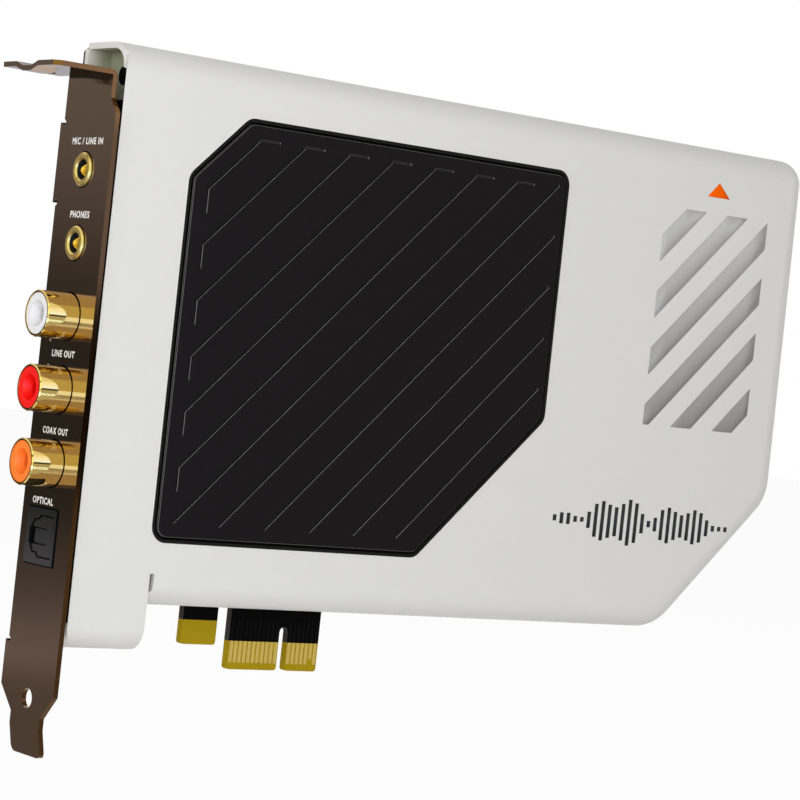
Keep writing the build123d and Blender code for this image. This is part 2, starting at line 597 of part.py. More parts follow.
def phono_nodes(name, z):
    """One phono socket: gilt shell, coloured insulator, centre sleeve, body and pins."""
    face = PLATE_X - PHONO_PROUD
    bore = PHONO_R - PHONO_WALL
    neck = PHONO_R - PHONO_NECK
    shell = turned([
        (face, bore), (face, PHONO_R - PHONO_BREAK), (face + PHONO_BREAK, PHONO_R), (PLATE_X, PHONO_R),
        (PLATE_X, neck), (BODY_X, neck), (BODY_X, bore),
    ], PORT_Y, z)
    mouth = face + PHONO_RECESS
    insulator = turned([
        (mouth, PHONO_FLARE_R), (mouth, bore - PHONO_FIT), (BODY_X, bore - PHONO_FIT),
        (BODY_X, PHONO_PIN_R), (mouth + PHONO_FLARE_L, PHONO_PIN_R),
    ], PORT_Y, z)
    sleeve_r = PHONO_PIN_R + PHONO_SLEEVE_WALL
    sleeve_end = BODY_X + PHONO_SLEEVE_L
    sleeve = rod_x(BODY_X, sleeve_end, PORT_Y, z, sleeve_r)
    sleeve -= rod_x(BODY_X, sleeve_end, PORT_Y, z, PHONO_PIN_R)
    body = slab(BODY_X, BODY_X + PHONO_BODY_L, BOARD_FRONT - PHONO_BODY_H, BOARD_FRONT,
                z - PHONO_BODY_W / 2, z + PHONO_BODY_W / 2)
    body = chamfer(body.edges().filter_by(Axis.X).group_by(Axis.Y)[0], JACK_BREAK)
    body -= rod_x(BODY_X, sleeve_end, PORT_Y, z, sleeve_r + PHONO_FIT)
    pins = [blade_pin(*spot) for spot in phono_pins(z)]
    return {
        name + "_shell": shell, name + "_insulator": insulator, name + "_sleeve": sleeve,
        name + "_body": body, name + "_pins": Part() + pins,
    }


def mouth_outline():
    """Stepped mouth of the optical socket, with a keyway on its hinge side."""
    step_half = MOUTH_HALF - MOUTH_STEP
    half = [
        (-MOUTH_NEAR, MOUTH_HALF), (MOUTH_STEP_Y, MOUTH_HALF), (MOUTH_STEP_Y + MOUTH_STEP, step_half),
        (MOUTH_SHOULDER_Y, step_half), (MOUTH_FAR, MOUTH_FAR_HALF),
    ]
    points = half + [(y, -z) for y, z in reversed(half)]
    keyway = rect(0, KEYWAY_FAR, -KEYWAY_HALF, KEYWAY_HALF)
    return Pos(OPTICAL_Y, OPTICAL_Z) * (make_face(Polyline(*points, close=True)) + keyway)


def make_optical_housing():
    """Moulded optical socket: lip with the mouth, chamber for the shutter, pin seats and board pegs."""
    half = OPTICAL_SIZE / 2
    near, far = OPTICAL_Y - half, OPTICAL_Y + half
    low, high = OPTICAL_Z - half, OPTICAL_Z + half
    housing = slab(OPTICAL_FRONT, BODY_X, near, far, low, high)
    housing += slab(BODY_X, OPTICAL_BACK, near, BOARD_FRONT, low, high)
    housing += slab(BODY_X, BODY_X + OPTICAL_WALL, near - OPTICAL_FLANGE, BOARD_FRONT,
                    low - OPTICAL_FLANGE, high + OPTICAL_FLANGE)
    lip = OPTICAL_FRONT + OPTICAL_LIP
    chamber_far = min(OPTICAL_Y + KEYWAY_FAR + SHUTTER_GAP, BOARD_FRONT - OPTICAL_WALL / 2)
    housing -= slab(lip, OPTICAL_BACK - OPTICAL_WALL, near + OPTICAL_WALL / 2, chamber_far,
                    low + OPTICAL_WALL, high - OPTICAL_WALL)
    housing -= extrude(side(OPTICAL_FRONT) * mouth_outline(), OPTICAL_LIP)
    seat = half - OPTICAL_WALL + PIN_SEAT
    housing -= rod_z(HINGE_X, HINGE_AXIS_Y, OPTICAL_Z - seat, OPTICAL_Z + seat, HINGE_PIN_R + PIN_SEAT_GAP)
    housing -= rod_x(OPTICAL_BACK - OPTICAL_WALL, OPTICAL_BACK, OPTICAL_Y, OPTICAL_Z, LENS_R + PEG_GAP)
    for x, z in peg_spots():
        housing += rod_y(x, z, BOARD_BACK + PIN_TAIL, BOARD_FRONT, PEG_R)
    return housing


def make_shutter():
    """Shutter plate with a shallow recess in its face and a hinge knuckle."""
    half = OPTICAL_SIZE / 2 - OPTICAL_WALL - SHUTTER_GAP
    plate_x = OPTICAL_FRONT + OPTICAL_LIP + SHUTTER_GAP
    back_x = plate_x + SHUTTER_T
    near = OPTICAL_Y - MOUTH_NEAR
    plate = slab(plate_x, back_x, near, HINGE_AXIS_Y - HINGE_CLEAR, OPTICAL_Z - half, OPTICAL_Z + half)
    plate += slab(plate_x, back_x, near, HINGE_AXIS_Y, OPTICAL_Z - KNUCKLE_HALF, OPTICAL_Z + KNUCKLE_HALF)
    plate -= slab(plate_x, plate_x + SHUTTER_DISH, OPTICAL_Y - DISH_NEAR, OPTICAL_Y + DISH_FAR,
                  OPTICAL_Z - DISH_HALF, OPTICAL_Z + DISH_HALF)
    ends = (OPTICAL_Z - KNUCKLE_HALF, OPTICAL_Z + KNUCKLE_HALF)
    plate += rod_z(HINGE_X, HINGE_AXIS_Y, *ends, KNUCKLE_R)
    return plate - rod_z(HINGE_X, HINGE_AXIS_Y, *ends, HINGE_PIN_R + HINGE_RUN)


def make_hinge_pin():
    """Pin that the shutter turns on, seated in the housing's two side walls."""
    seat = OPTICAL_SIZE / 2 - OPTICAL_WALL + PIN_SEAT
    return rod_z(HINGE_X, HINGE_AXIS_Y, OPTICAL_Z - seat, OPTICAL_Z + seat, HINGE_PIN_R)


def make_spring():
    """Coil of the shutter's torsion spring, round the pin above the knuckle."""
    start = OPTICAL_Z + KNUCKLE_HALF + SPRING_WIRE
    coil = Helix(SPRING_PITCH, SPRING_PITCH * SPRING_TURNS, SPRING_R)
    wire = sweep(Plane(coil @ 0, z_dir=coil % 0) * Rectangle(SPRING_WIRE, SPRING_WIRE), coil)
    return Pos(HINGE_X, HINGE_AXIS_Y, start) * wire


def make_receiver():
    """Optical receiver behind the chamber, with its lens and pins."""
    half = OPTICAL_SIZE / 2 - RECEIVER_MARGIN
    body = slab(OPTICAL_BACK, OPTICAL_BACK + RECEIVER_L, OPTICAL_Y - half, BOARD_FRONT,
                OPTICAL_Z - half, OPTICAL_Z + half)
    body += rod_x(OPTICAL_BACK - OPTICAL_WALL - LENS_PROUD, OPTICAL_BACK, OPTICAL_Y, OPTICAL_Z, LENS_R)
    return body + [blade_pin(*spot) for spot in receiver_pins()]


def board_block(x, z, wide, tall, high):
    """Block that sits on the component side."""
    return slab(x - wide / 2, x + wide / 2, BOARD_FRONT - high, BOARD_FRONT, z - tall / 2, z + tall / 2)


def leaded_chip(x, z, wide, tall, four_sides=False):
    """Moulded chip with leads on its two upright sides, or on all four."""
    body = board_block(x, z, wide, tall, CHIP_T)
    body = chamfer(body.edges().group_by(Axis.Y)[0], LEAD_T)
    leads = int(tall / LEAD_PITCH)
    pieces = []
    for index in range(leads):
        shift = (index - (leads - 1) / 2) * LEAD_PITCH
        pieces.append(board_block(x, z + shift, wide + 2 * LEAD_L, LEAD_W, LEAD_T))
        if four_sides:
            pieces.append(board_block(x + shift, z, LEAD_W, tall + 2 * LEAD_L, LEAD_T))
    return body + pieces


def make_can(x, z):
    """Electrolytic capacitor: a drawn can with a rounded-off top."""
    can = rod_y(x, z, BOARD_FRONT, BOARD_FRONT - CAN_H, CAN_R)
    return chamfer(can.edges().group_by(Axis.Y)[0], CAN_BREAK)


def board_parts():
    """Chips, capacitors, relays and power parts, in two columns behind the panel and rows beside it."""
    analog_x = BODY_X + JACK_BODY_L + CAN_PITCH
    converter_x = analog_x + 2 * CAN_PITCH
    digital_x = (PANEL_LEFT + PANEL_RIGHT) / 2 + 2 * CAN_PITCH
    power = [SHROUD_RIGHT - POWER_INSET - n * CAN_PITCH for n in (2, 1, 0)]
    clocks = [digital_x, digital_x + CAN_PITCH]
    film_x = converter_x + CAN_PITCH
    rows = [port_z(n) for n in range(5)]
    return {
        "audio_processor": leaded_chip(digital_x, rows[2], *PROCESSOR, four_sides=True),
        "output_converter": leaded_chip(converter_x, rows[2], *OUTPUT_CONVERTER),
        "input_converter": leaded_chip(converter_x, rows[0], *INPUT_CONVERTER),
        "headphone_amplifier": leaded_chip(converter_x, rows[1], *HEADPHONE_AMPLIFIER),
        "bus_bridge": leaded_chip(0, SHROUD_BOTTOM + 2 * CAN_PITCH, *BUS_BRIDGE, four_sides=True),
        "flash_memory": leaded_chip(digital_x, rows[3], *FLASH_MEMORY),
        "op_amps": Part() + [leaded_chip(analog_x + CAN_PITCH, z, *OP_AMP) for z in rows],
        "clock_oscillators": Part() + [board_block(x, rows[0], *OSCILLATOR) for x in clocks],
        "output_relays": Part() + [board_block(analog_x, z, *RELAY) for z in rows[1:4]],
        "electrolytic_cans": Part() + [make_can(x, z) for x in power for z in rows[:3]],
        "film_capacitors": Part() + [board_block(film_x, z, *FILM_CAPACITOR) for z in rows[:4]],
        "power_inductors": Part() + [board_block(x, rows[3], *INDUCTOR) for x in power],
        "voltage_regulators": Part() + [leaded_chip(x, rows[4], *REGULATOR) for x in power[:2]],
    }


def all_nodes():
    """Every piece of the card by name."""
    nodes = {
        "circuit_board": make_board(),
        "edge_contacts": make_contacts(),
        "bracket": make_bracket(),
        "bracket_screws": Part() + [make_screw(x, z, SHEET_T) for x, z in LUG_SPOTS],
        "shroud": make_shroud(),
        "shroud_screws": Part() + [make_screw(x, z, SHROUD_SCREW_REACH) for x, z in BOSS_SPOTS],
        "inlay_panel": make_panel(),
        "optical_housing": make_optical_housing(),
        "optical_shutter": make_shutter(),
        "shutter_pin": make_hinge_pin(),
        "shutter_spring": make_spring(),
        "optical_receiver": make_receiver(),
    }
    for name, z in zip(JACKS, JACK_Z):
        nodes.update(jack_nodes(name, z))
    for name, z in zip(PHONOS, PHONO_Z):
        nodes.update(phono_nodes(name, z))
    nodes.update(board_parts())
    return nodes


os.makedirs("parts", exist_ok=True)
for node_name, piece in all_nodes().items():
    export_step(piece, f"parts/{node_name}.step")
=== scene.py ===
"""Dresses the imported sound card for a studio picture: finishes, printed marks, solder and socket details."""

import json
import logging
from dataclasses import dataclass
from enum import Enum
from typing import Any, Sequence

import bmesh
import bpy
import numpy as np
from mathutils import Matrix, Vector


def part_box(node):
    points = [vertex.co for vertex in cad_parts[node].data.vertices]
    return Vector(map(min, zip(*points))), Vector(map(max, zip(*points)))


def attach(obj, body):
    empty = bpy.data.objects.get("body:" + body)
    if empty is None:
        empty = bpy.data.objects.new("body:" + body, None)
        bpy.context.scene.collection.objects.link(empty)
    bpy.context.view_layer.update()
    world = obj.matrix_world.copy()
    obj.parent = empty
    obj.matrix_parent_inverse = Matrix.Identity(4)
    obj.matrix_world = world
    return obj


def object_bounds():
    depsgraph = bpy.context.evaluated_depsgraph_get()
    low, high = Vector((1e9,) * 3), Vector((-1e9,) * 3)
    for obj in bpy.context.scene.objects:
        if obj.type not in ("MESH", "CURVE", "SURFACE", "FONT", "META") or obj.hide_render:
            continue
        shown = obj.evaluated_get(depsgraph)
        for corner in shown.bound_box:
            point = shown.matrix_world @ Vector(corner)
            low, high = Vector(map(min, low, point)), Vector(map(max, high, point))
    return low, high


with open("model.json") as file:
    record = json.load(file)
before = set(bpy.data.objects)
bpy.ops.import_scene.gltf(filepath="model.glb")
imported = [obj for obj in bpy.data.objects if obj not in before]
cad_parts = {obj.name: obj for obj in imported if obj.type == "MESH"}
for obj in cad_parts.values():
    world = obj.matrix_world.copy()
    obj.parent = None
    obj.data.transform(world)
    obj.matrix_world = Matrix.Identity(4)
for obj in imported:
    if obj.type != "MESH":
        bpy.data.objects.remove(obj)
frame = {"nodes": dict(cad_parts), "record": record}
CAD_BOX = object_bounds()

LOG = logging.getLogger("sound_card")
MM = 0.001
FILM_MM = 0.03               # printed ink and copper stand this far off the surface under them
FILM_THICK_MM = 0.0285       # and are this thick, so that their backs stay clear of it
MERGE_M = 1e-7               # points closer than this become one
SHARP_DEG = 40.0             # edges that turn by more than this stay sharp
GRAIN_OCTAVES = 3.0          # finer and finer copies of itself in a grain
SHEEN_SPREAD = 0.15          # roughness follows the grain by this share to both sides
MIX_A, MIX_B, MIX_OUT = 6, 7, 2   # colour sockets of Blender's mix node


class Body(Enum):
    """CAD bodies that pieces ride on."""

    CARD = "card"
    SHUTTER = "shutter"


class Slot(Enum):
    """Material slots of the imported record."""

    SOLDER_MASK = "solder_mask"
    GILT = "gilt"
    BRONZE_PLATE = "bronze_plate"
    SCREW_STEEL = "screw_steel"
    WHITE_SHELL = "white_shell"
    BLACK_PANEL = "black_panel"
    SOCKET_GREY = "socket_grey"
    MOULDED_BLACK = "moulded_black"
    CAN_METAL = "can_metal"
    RELAY_WHITE = "relay_white"
    FILM_RED = "film_red"
    TINNED_PIN = "tinned_pin"
    INSULATOR_WHITE = "insulator_white"
    INSULATOR_RED = "insulator_red"
    INSULATOR_ORANGE = "insulator_orange"


def linear(hex_colour: str) -> tuple[float, float, float, float]:
    """Turns an sRGB hex colour into linear RGBA.

    Args:
        hex_colour: Six hex digits after a hash sign.

    Returns:
        Linear red, green and blue, and an alpha of one.
    """
    srgb = np.array([int(hex_colour[i:i + 2], 16) for i in (1, 3, 5)]) / 255
    return (*np.where(srgb <= 0.04045, srgb / 12.92, ((srgb + 0.055) / 1.055) ** 2.4).tolist(), 1.0)


def add_node(tree: bpy.types.NodeTree, kind: str, inputs: dict | None = None,
             **settings: Any) -> bpy.types.Node:
    """Adds one shader node, sets its properties, and fills or links its input sockets.

    Args:
        tree: Node tree that gets the node.
        kind: Blender's name of the node type.
        inputs: Values or output sockets, by the name or number of the input they go to.
        **settings: Properties of the node.

    Returns:
        The new node.
    """
    node = tree.nodes.new(kind)
    for name, value in settings.items():
        setattr(node, name, value)
    for key, value in (inputs or {}).items():
        if isinstance(value, bpy.types.NodeSocket):
            tree.links.new(value, node.inputs[key])
        else:
            node.inputs[key].default_value = value
    return node


class Along(Enum):
    """Directions to measure along, of a place in mm or of a face's normal.

    Each gives the kind of coordinates, the direction, and whether the sign is dropped.
    """

    X = ("Object", (1, 0, 0), False)
    Y = ("Object", (0, 1, 0), False)
    Z = ("Object", (0, 0, 1), False)
    Y_PLUS_Z = ("Object", (0, 1, 1), False)
    Y_LESS_Z = ("Object", (0, 1, -1), False)
    FACING_X = ("Normal", (1, 0, 0), False)
    FACING_Y = ("Normal", (0, 1, 0), False)
    FACING_EITHER_Y = ("Normal", (0, 1, 0), True)

    def read(self, tree: bpy.types.NodeTree) -> bpy.types.NodeSocket:
        """Measures each point of the surface: the dot product of its coordinates and the direction.

        Args:
            tree: Node tree of the material.

        Returns:
            A socket with the measure, in mm for a place.
        """
        kind, direction, unsigned = self.value
        unit = 1 / MM if kind == "Object" else 1.0
        spot = add_node(tree, "ShaderNodeTexCoord").outputs[kind]
        if unsigned:
            spot = add_node(tree, "ShaderNodeVectorMath", {0: spot}, operation="ABSOLUTE").outputs["Vector"]
        return add_node(tree, "ShaderNodeVectorMath", {0: spot, 1: [unit * part for part in direction]},
                        operation="DOT_PRODUCT").outputs["Value"]


@dataclass(frozen=True)
class Layer:
    """A colour over part of a surface: where every limit holds, and coming in along each of its fades."""

    colour: str
    above: tuple[tuple[Along, float], ...] = ()
    below: tuple[tuple[Along, float], ...] = ()
    fades: tuple[tuple[Along, float, float], ...] = ()

    def cover(self, tree: bpy.types.NodeTree) -> bpy.types.NodeSocket:
        """Works out the layer's share of the colour at each point.

        A limit gives 0 or 1 and a fade a share between them; the cover is the product of them all.

        Args:
            tree: Node tree of the material.

        Returns:
            A socket with the share.
        """
        masks = [add_node(tree, "ShaderNodeMath", {0: along.read(tree), 1: limit}, operation=side).outputs[0]
                 for side, limits in (("GREATER_THAN", self.above), ("LESS_THAN", self.below))
                 for along, limit in limits]
        masks += [add_node(tree, "ShaderNodeMapRange", {
            "Value": along.read(tree), "From Min": none, "From Max": full}).outputs["Result"]
            for along, none, full in self.fades]
        cover = masks[0]
        for mask in masks[1:]:
            cover = add_node(tree, "ShaderNodeMath", {0: cover, 1: mask}, operation="MULTIPLY").outputs[0]
        return cover


@dataclass(frozen=True)
class Finish:
    """A surface: base colour, a mottle that follows its grain, sheen, fine relief and layers of colour."""

    name: str
    colour: str
    mottle: str
    roughness: float
    grain_mm: float
    relief_mm: float
    metallic: float = 0.0
    specular: float = 0.5
    stretch: tuple[float, float, float] = (1.0, 1.0, 1.0)
    layers: tuple[Layer, ...] = ()

    def material(self) -> bpy.types.Material:
        """Makes the material once and gives it again afterwards.

        The grain mixes the base colour with the mottle, and the layers go over that in their order.

        Returns:
            The material of this finish.
        """
        known = bpy.data.materials.get(self.name)
        if known:
            return known
        made = bpy.data.materials.new(self.name)
        made.use_nodes = True
        tree = made.node_tree
        shader = tree.nodes["Principled BSDF"]
        place = add_node(tree, "ShaderNodeTexCoord").outputs["Object"]
        spread = add_node(tree, "ShaderNodeMapping", {"Vector": place, "Scale": self.stretch})
        grain = add_node(tree, "ShaderNodeTexNoise", {
            "Vector": spread.outputs["Vector"], "Scale": 1 / (self.grain_mm * MM),
            "Detail": GRAIN_OCTAVES}).outputs["Fac"]
        sheen = add_node(tree, "ShaderNodeMapRange", {
            "Value": grain, "To Min": (1 - SHEEN_SPREAD) * self.roughness,
            "To Max": (1 + SHEEN_SPREAD) * self.roughness}).outputs["Result"]
        bump = add_node(tree, "ShaderNodeBump", {"Height": grain, "Distance": self.relief_mm * MM})
        colour = linear(self.colour)
        coats = [(grain, self.mottle)] + [(layer.cover(tree), layer.colour) for layer in self.layers]
        for share, over in coats:
            colour = add_node(tree, "ShaderNodeMix", {0: share, MIX_A: colour, MIX_B: linear(over)},
                              data_type="RGBA").outputs[MIX_OUT]
        tree.links.new(colour, shader.inputs["Base Color"])
        tree.links.new(sheen, shader.inputs["Roughness"])
        tree.links.new(bump.outputs["Normal"], shader.inputs["Normal"])
        shader.inputs["Metallic"].default_value = self.metallic
        shader.inputs["Specular IOR Level"].default_value = self.specular
        return made


# Sprayed satin paint: an even warm white with a very faint orange peel that keeps highlights soft
SATIN_PAINT = Finish("sprayed_satin_white_paint", "#DEDDD9", "#DBDAD5", 0.42, 0.9, 0.004, specular=0.3,
                     layers=(
    # Greenish grey inside the open end, up to halfway through its walls and bends: partly the raw moulding's
    # tone, partly painted shade that fades in from the open end as it deepens inwards
    Layer("#A0A48C", below=((Along.X, -49.0), (Along.Z, 109.3)), fades=((Along.X, -55.0, -52.0),),
          above=((Along.Y, -13.9), (Along.Z, 4.85), (Along.Y_LESS_Z, -120.98), (Along.Y_PLUS_Z, -6.83))),
))
# Spark-eroded moulded plastic: a dead black with a fine grain that breaks up reflections
BLACK_ABS = Finish("spark_eroded_black_abs", "#181515", "#131010", 0.5, 0.35, 0.012, specular=0.05, layers=(
    # Painted shade on the groove floors and everything deeper, and a painted highlight where the grooves'
    # level upper ends face the light
    Layer("#060606", above=((Along.Y, -14.5),)),
    Layer("#343232", above=((Along.Y, -14.5), (Along.Z, 96.27)), below=((Along.Y, -14.43), (Along.Z, 96.75))),
    # Painted highlights on the face's broken edge and on the grooves' walls
    Layer("#605E5E", below=((Along.FACING_EITHER_Y, 0.9), (Along.Y, -14.66))),
    Layer("#8A8888", below=((Along.FACING_EITHER_Y, 0.3), (Along.Y, -14.43))),
))
# Rim round that panel: the same plastic, a shade warmer and without the painted highlights of the grooves
RIM_ABS = Finish("moulded_black_abs_rim", "#191815", "#141310", 0.5, 0.35, 0.012, specular=0.06)
# Polished bronze plating: a dark warm mirror with faint upright polishing lines
BRONZE = Finish("polished_bronze_plating", "#AC9480", "#A58D79", 0.09, 0.25, 0.0006, metallic=1.0,
                stretch=(1.0, 1.0, 0.02), layers=(
    # Sheared edges, browner than the faces; a painted sheen makes them paler round the flange than below it
    Layer("#573D22", fades=((Along.FACING_EITHER_Y, 0.5, 0.65),)),
    Layer("#734E29", fades=((Along.FACING_EITHER_Y, 0.5, 0.65), (Along.Z, 93.0, 97.0))),
))
# Gold plating on turned brass: a bright yellow mirror with faint turning marks
GILT = Finish("gold_plated_brass", "#EACB7C", "#E0BF6C", 0.07, 0.3, 0.0008, metallic=1.0,
              stretch=(1.0, 0.2, 0.2))
# Satin gold plating on the jacks' collars: the same gold, blurred by a bead-blasted face
SATIN_GILT = Finish("satin_gold_plated_brass", "#EACB7C", "#E0BF6C", 0.34, 0.25, 0.002, metallic=1.0)
# Sprung contact leaf deep in a jack: a redder gold than the collar's, a little rubbed
LEAF_GOLD = Finish("gold_flashed_spring_bronze", "#F3B235", "#E9A62B", 0.35, 0.2, 0.002, metallic=1.0)
# Hard gold on copper fingers: matt and slightly pale, worn smooth by the slot's springs
HARD_GOLD = Finish("hard_gold_contacts", "#DDBC62", "#D2B057", 0.38, 0.2, 0.002, metallic=1.0,
                   stretch=(1.0, 1.0, 0.1))
# Black solder mask: a satin black skin with a slight flow-out ripple
SOLDER_MASK = Finish("black_solder_mask_on_laminate", "#060505", "#080707", 0.4, 0.6, 0.006,
                     specular=0.02, layers=(
    # Paler solder side and grey cut edges
    Layer("#141312", above=((Along.FACING_Y, 0.5),)),
    Layer("#3E3C3A", below=((Along.FACING_EITHER_Y, 0.5),)),
    # Bare laminate round the contacts, and up to a greater height on the locking tab
    Layer("#A68D14", below=((Along.Z, 5.3),)),
    Layer("#A68D14", above=((Along.X, -30.0),), below=((Along.X, -14.0), (Along.Z, 8.9))),
))
# Zinc-plated steel: a grey metal with a soft, slightly streaked shine
ZINC = Finish("zinc_plated_steel", "#B9BBBE", "#A9ABAF", 0.3, 0.25, 0.002, metallic=1.0)
# Blackened spring steel: almost black, with a dull metal shine
BLACK_STEEL = Finish("blackened_spring_steel", "#2A2A2B", "#232324", 0.45, 0.2, 0.002, metallic=1.0)
# Moulded nylon of the optical socket: dark grey, almost without gloss
GREY_NYLON = Finish("moulded_grey_nylon", "#1D1D1A", "#191916", 0.55, 0.3, 0.008, specular=0.06, layers=(
    # Faces pale towards the socket's foot; sides and hollows, which do not look along -X, are painted black as
    # painted shade
    Layer("#3C3A3B", fades=((Along.Z, 27.8, 18.0),)),
    Layer("#0B0B0B", above=((Along.FACING_X, -0.5),)),
))
# Shutter in the shade behind its pad: black without gloss, as painted shade for the gaps round the pad
SHUTTER_SHADE = Finish("shutter_painted_shade", "#070707", "#0A0A0A", 0.6, 0.3, 0.008, specular=0.03)
# Painted shade: a dead black that swallows the light, for the gap round the optical socket and the hole in the
# shroud's end wall
SHADE_BLACK = Finish("black_painted_shade", "#050505", "#080808", 0.7, 0.4, 0.01, specular=0.03)
# Moulded epoxy and nylon bodies: flat black with a fine grain
BLACK_EPOXY = Finish("moulded_black_epoxy", "#171717", "#1D1D1D", 0.55, 0.25, 0.008, specular=0.3)
# Drawn aluminium: pale metal with fine lines round the can
ALUMINIUM = Finish("drawn_aluminium", "#CFCFCF", "#BFBFBF", 0.28, 0.2, 0.001, metallic=1.0,
                   stretch=(1.0, 0.1, 1.0))
# Moulded white relay case: plain and slightly glossy
WHITE_PBT = Finish("moulded_white_pbt", "#D9D8D3", "#D2D1CC", 0.4, 0.4, 0.004)
# Dipped film capacitor: glossy red resin with soft ripples
RED_RESIN = Finish("dipped_red_resin", "#9A1D14", "#8B170F", 0.25, 1.2, 0.02)
# Tinned brass: a soft white metal, a little uneven where the tin froze
TIN = Finish("tinned_brass", "#C9C9C6", "#B5B5B2", 0.28, 0.3, 0.004, metallic=1.0)
# Phono insulators: glossy moulded plastic in the colours that mark the channels
INSULATOR_WHITE = Finish("moulded_white_insulator", "#E8E7E8", "#E4E3E4", 0.3, 0.5, 0.003, specular=0.3)
INSULATOR_RED = Finish("moulded_red_insulator", "#F9100A", "#F00E09", 0.3, 0.5, 0.003, specular=0.3)
INSULATOR_ORANGE = Finish("moulded_orange_insulator", "#FF8630", "#FB7E2A", 0.3, 0.5, 0.003, specular=0.3)
# Screen-printed inks: thin, flat and slightly duller than the paint under them; the grey darkens downwards
GREY_INK = Finish("screen_printed_grey_ink", "#C3C2C0", "#BFBEBC", 0.5, 0.4, 0.003, specular=0.2, layers=(
    Layer("#94918F", fades=((Along.Z, 96.6, 52.95),)),
))
ORANGE_INK = Finish("screen_printed_orange_ink", "#FF6600", "#FE6200", 0.5, 0.4, 0.003, specular=0.02)
BLACK_INK = Finish("screen_printed_black_ink", "#12110F", "#171614", 0.5, 0.4, 0.003, specular=0.3)
WHITE_INK = Finish("screen_printed_white_ink", "#EDEAE6", "#E6E3DF", 0.5, 0.4, 0.003, specular=0.3)
# Copper tracks under black mask: a shade paler than the mask between them
MASKED_COPPER = Finish("solder_mask_over_copper", "#0D0C0C", "#0A0909", 0.4, 0.4, 0.004, specular=0.02)
# Tracks on the solder side, paler than the mask round them
BACK_COPPER = Finish("solder_mask_over_wide_copper", "#211F1D", "#1C1A18", 0.38, 0.4, 0.004, specular=0.2)
# Tin-silver solder: small bright cones with a frosted skin
SOLDER = Finish("tin_silver_solder", "#CDCDCB", "#B4B4B2", 0.22, 0.25, 0.006, metallic=1.0)

SLOT_FINISHES: dict[Slot, Finish] = {
    Slot.SOLDER_MASK: SOLDER_MASK, Slot.GILT: GILT, Slot.BRONZE_PLATE: BRONZE, Slot.SCREW_STEEL: ZINC,
    Slot.WHITE_SHELL: SATIN_PAINT, Slot.BLACK_PANEL: BLACK_ABS, Slot.SOCKET_GREY: GREY_NYLON,
    Slot.MOULDED_BLACK: BLACK_EPOXY, Slot.CAN_METAL: ALUMINIUM, Slot.RELAY_WHITE: WHITE_PBT,
    Slot.FILM_RED: RED_RESIN, Slot.TINNED_PIN: TIN, Slot.INSULATOR_WHITE: INSULATOR_WHITE,
    Slot.INSULATOR_RED: INSULATOR_RED, Slot.INSULATOR_ORANGE: INSULATOR_ORANGE,
}
# The optical shutter's black finish is painted shade for the gaps round its pad
NODE_FINISHES: dict[str, Finish] = {
    "edge_contacts": HARD_GOLD, "mic_jack_collar": SATIN_GILT, "phones_jack_collar": SATIN_GILT,
    "shutter_pin": BLACK_STEEL, "shutter_spring": BLACK_STEEL, "optical_shutter": SHUTTER_SHADE,
}


def grid_mesh(name: str, grids: np.ndarray, closed: bool = False) -> bpy.types.Mesh:
    """Makes one mesh from patches that are grids of points.

    Each patch is a surface of two parameters: its rows follow the first and its columns the second. Quads
    join neighbouring points, and points that fall together, as at a pole, are merged.

    Args:
        name: Name of the mesh.
        grids: Points in metres, as patches by rows by columns by 3.
        closed: Whether the last column meets the first.

    Returns:
        The mesh.
    """
    count, rows, columns, _ = grids.shape
    index = np.arange(count * rows * columns).reshape(count, rows, columns)
    ahead = np.roll(index, -1, axis=2)
    stop = columns if closed else columns - 1
    quads = np.stack([index[:, :-1, :stop], ahead[:, :-1, :stop],
                      ahead[:, 1:, :stop], index[:, 1:, :stop]], axis=-1)
    mesh = bpy.data.meshes.new(name)
    mesh.from_pydata(grids.reshape(-1, 3).tolist(), [], quads.reshape(-1, 4).tolist())
    work = bmesh.new()
    work.from_mesh(mesh)
    bmesh.ops.remove_doubles(work, verts=work.verts, dist=MERGE_M)
    work.to_mesh(mesh)
    work.free()
    return mesh


def add_piece(name: str, shape: np.ndarray | bpy.types.Mesh, finish: Finish,
              film: bool = False, closed: bool = False, body: Body = Body.CARD) -> bpy.types.Object:
    """Adds a finished piece that rides on one of the bodies.

    Args:
        name: Name of the piece.
        shape: Its patches of points for grid_mesh, or its mesh, in place.
        finish: Its finish.
        film: Whether it is a printed or plated sheet that gets a thickness towards its back.
        closed: Whether the last column of a patch meets the first.
        body: CAD body that it rides on.

    Returns:
        The new object.
    """
    mesh = grid_mesh(name, shape, closed) if isinstance(shape, np.ndarray) else shape
    mesh.shade_smooth()
    mesh.set_sharp_from_angle(angle=np.radians(SHARP_DEG))
    mesh.materials.append(finish.material())
    made = bpy.data.objects.new(name, mesh)
    bpy.context.scene.collection.objects.link(made)
    if film:
        skin = made.modifiers.new("film", "SOLIDIFY")
        skin.thickness, skin.offset = FILM_THICK_MM * MM, -1.0
    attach(made, body.value)
    LOG.info("piece %s: %d faces", name, len(mesh.polygons))
    return made


def turned(profile: Sequence[tuple[float, float]], spots: Sequence[Sequence[float]], along: Along,
           segments: int) -> np.ndarray:
    """Surfaces of revolution: each profile point runs once round the axis at its own radius.

    Args:
        profile: Distance along the axis and radius of each point, in mm.
        spots: A point on the axis of each surface, in metres.
        along: X or Y, the direction of the axis.
        segments: Points round the axis.

    Returns:
        Patches of points, one per spot, profile by angle.
    """
    reach, radius = np.array(profile).T[:, None, :, None] * MM
    angle = np.linspace(0, 2 * np.pi, segments, endpoint=False)
    first, second, ahead = radius * np.cos(angle), radius * np.sin(angle), reach + 0 * angle
    place = {Along.X: (ahead, first, second), Along.Y: (second, ahead, first)}[along]
    return np.stack(place, axis=-1) + np.array(spots)[:, None, None]


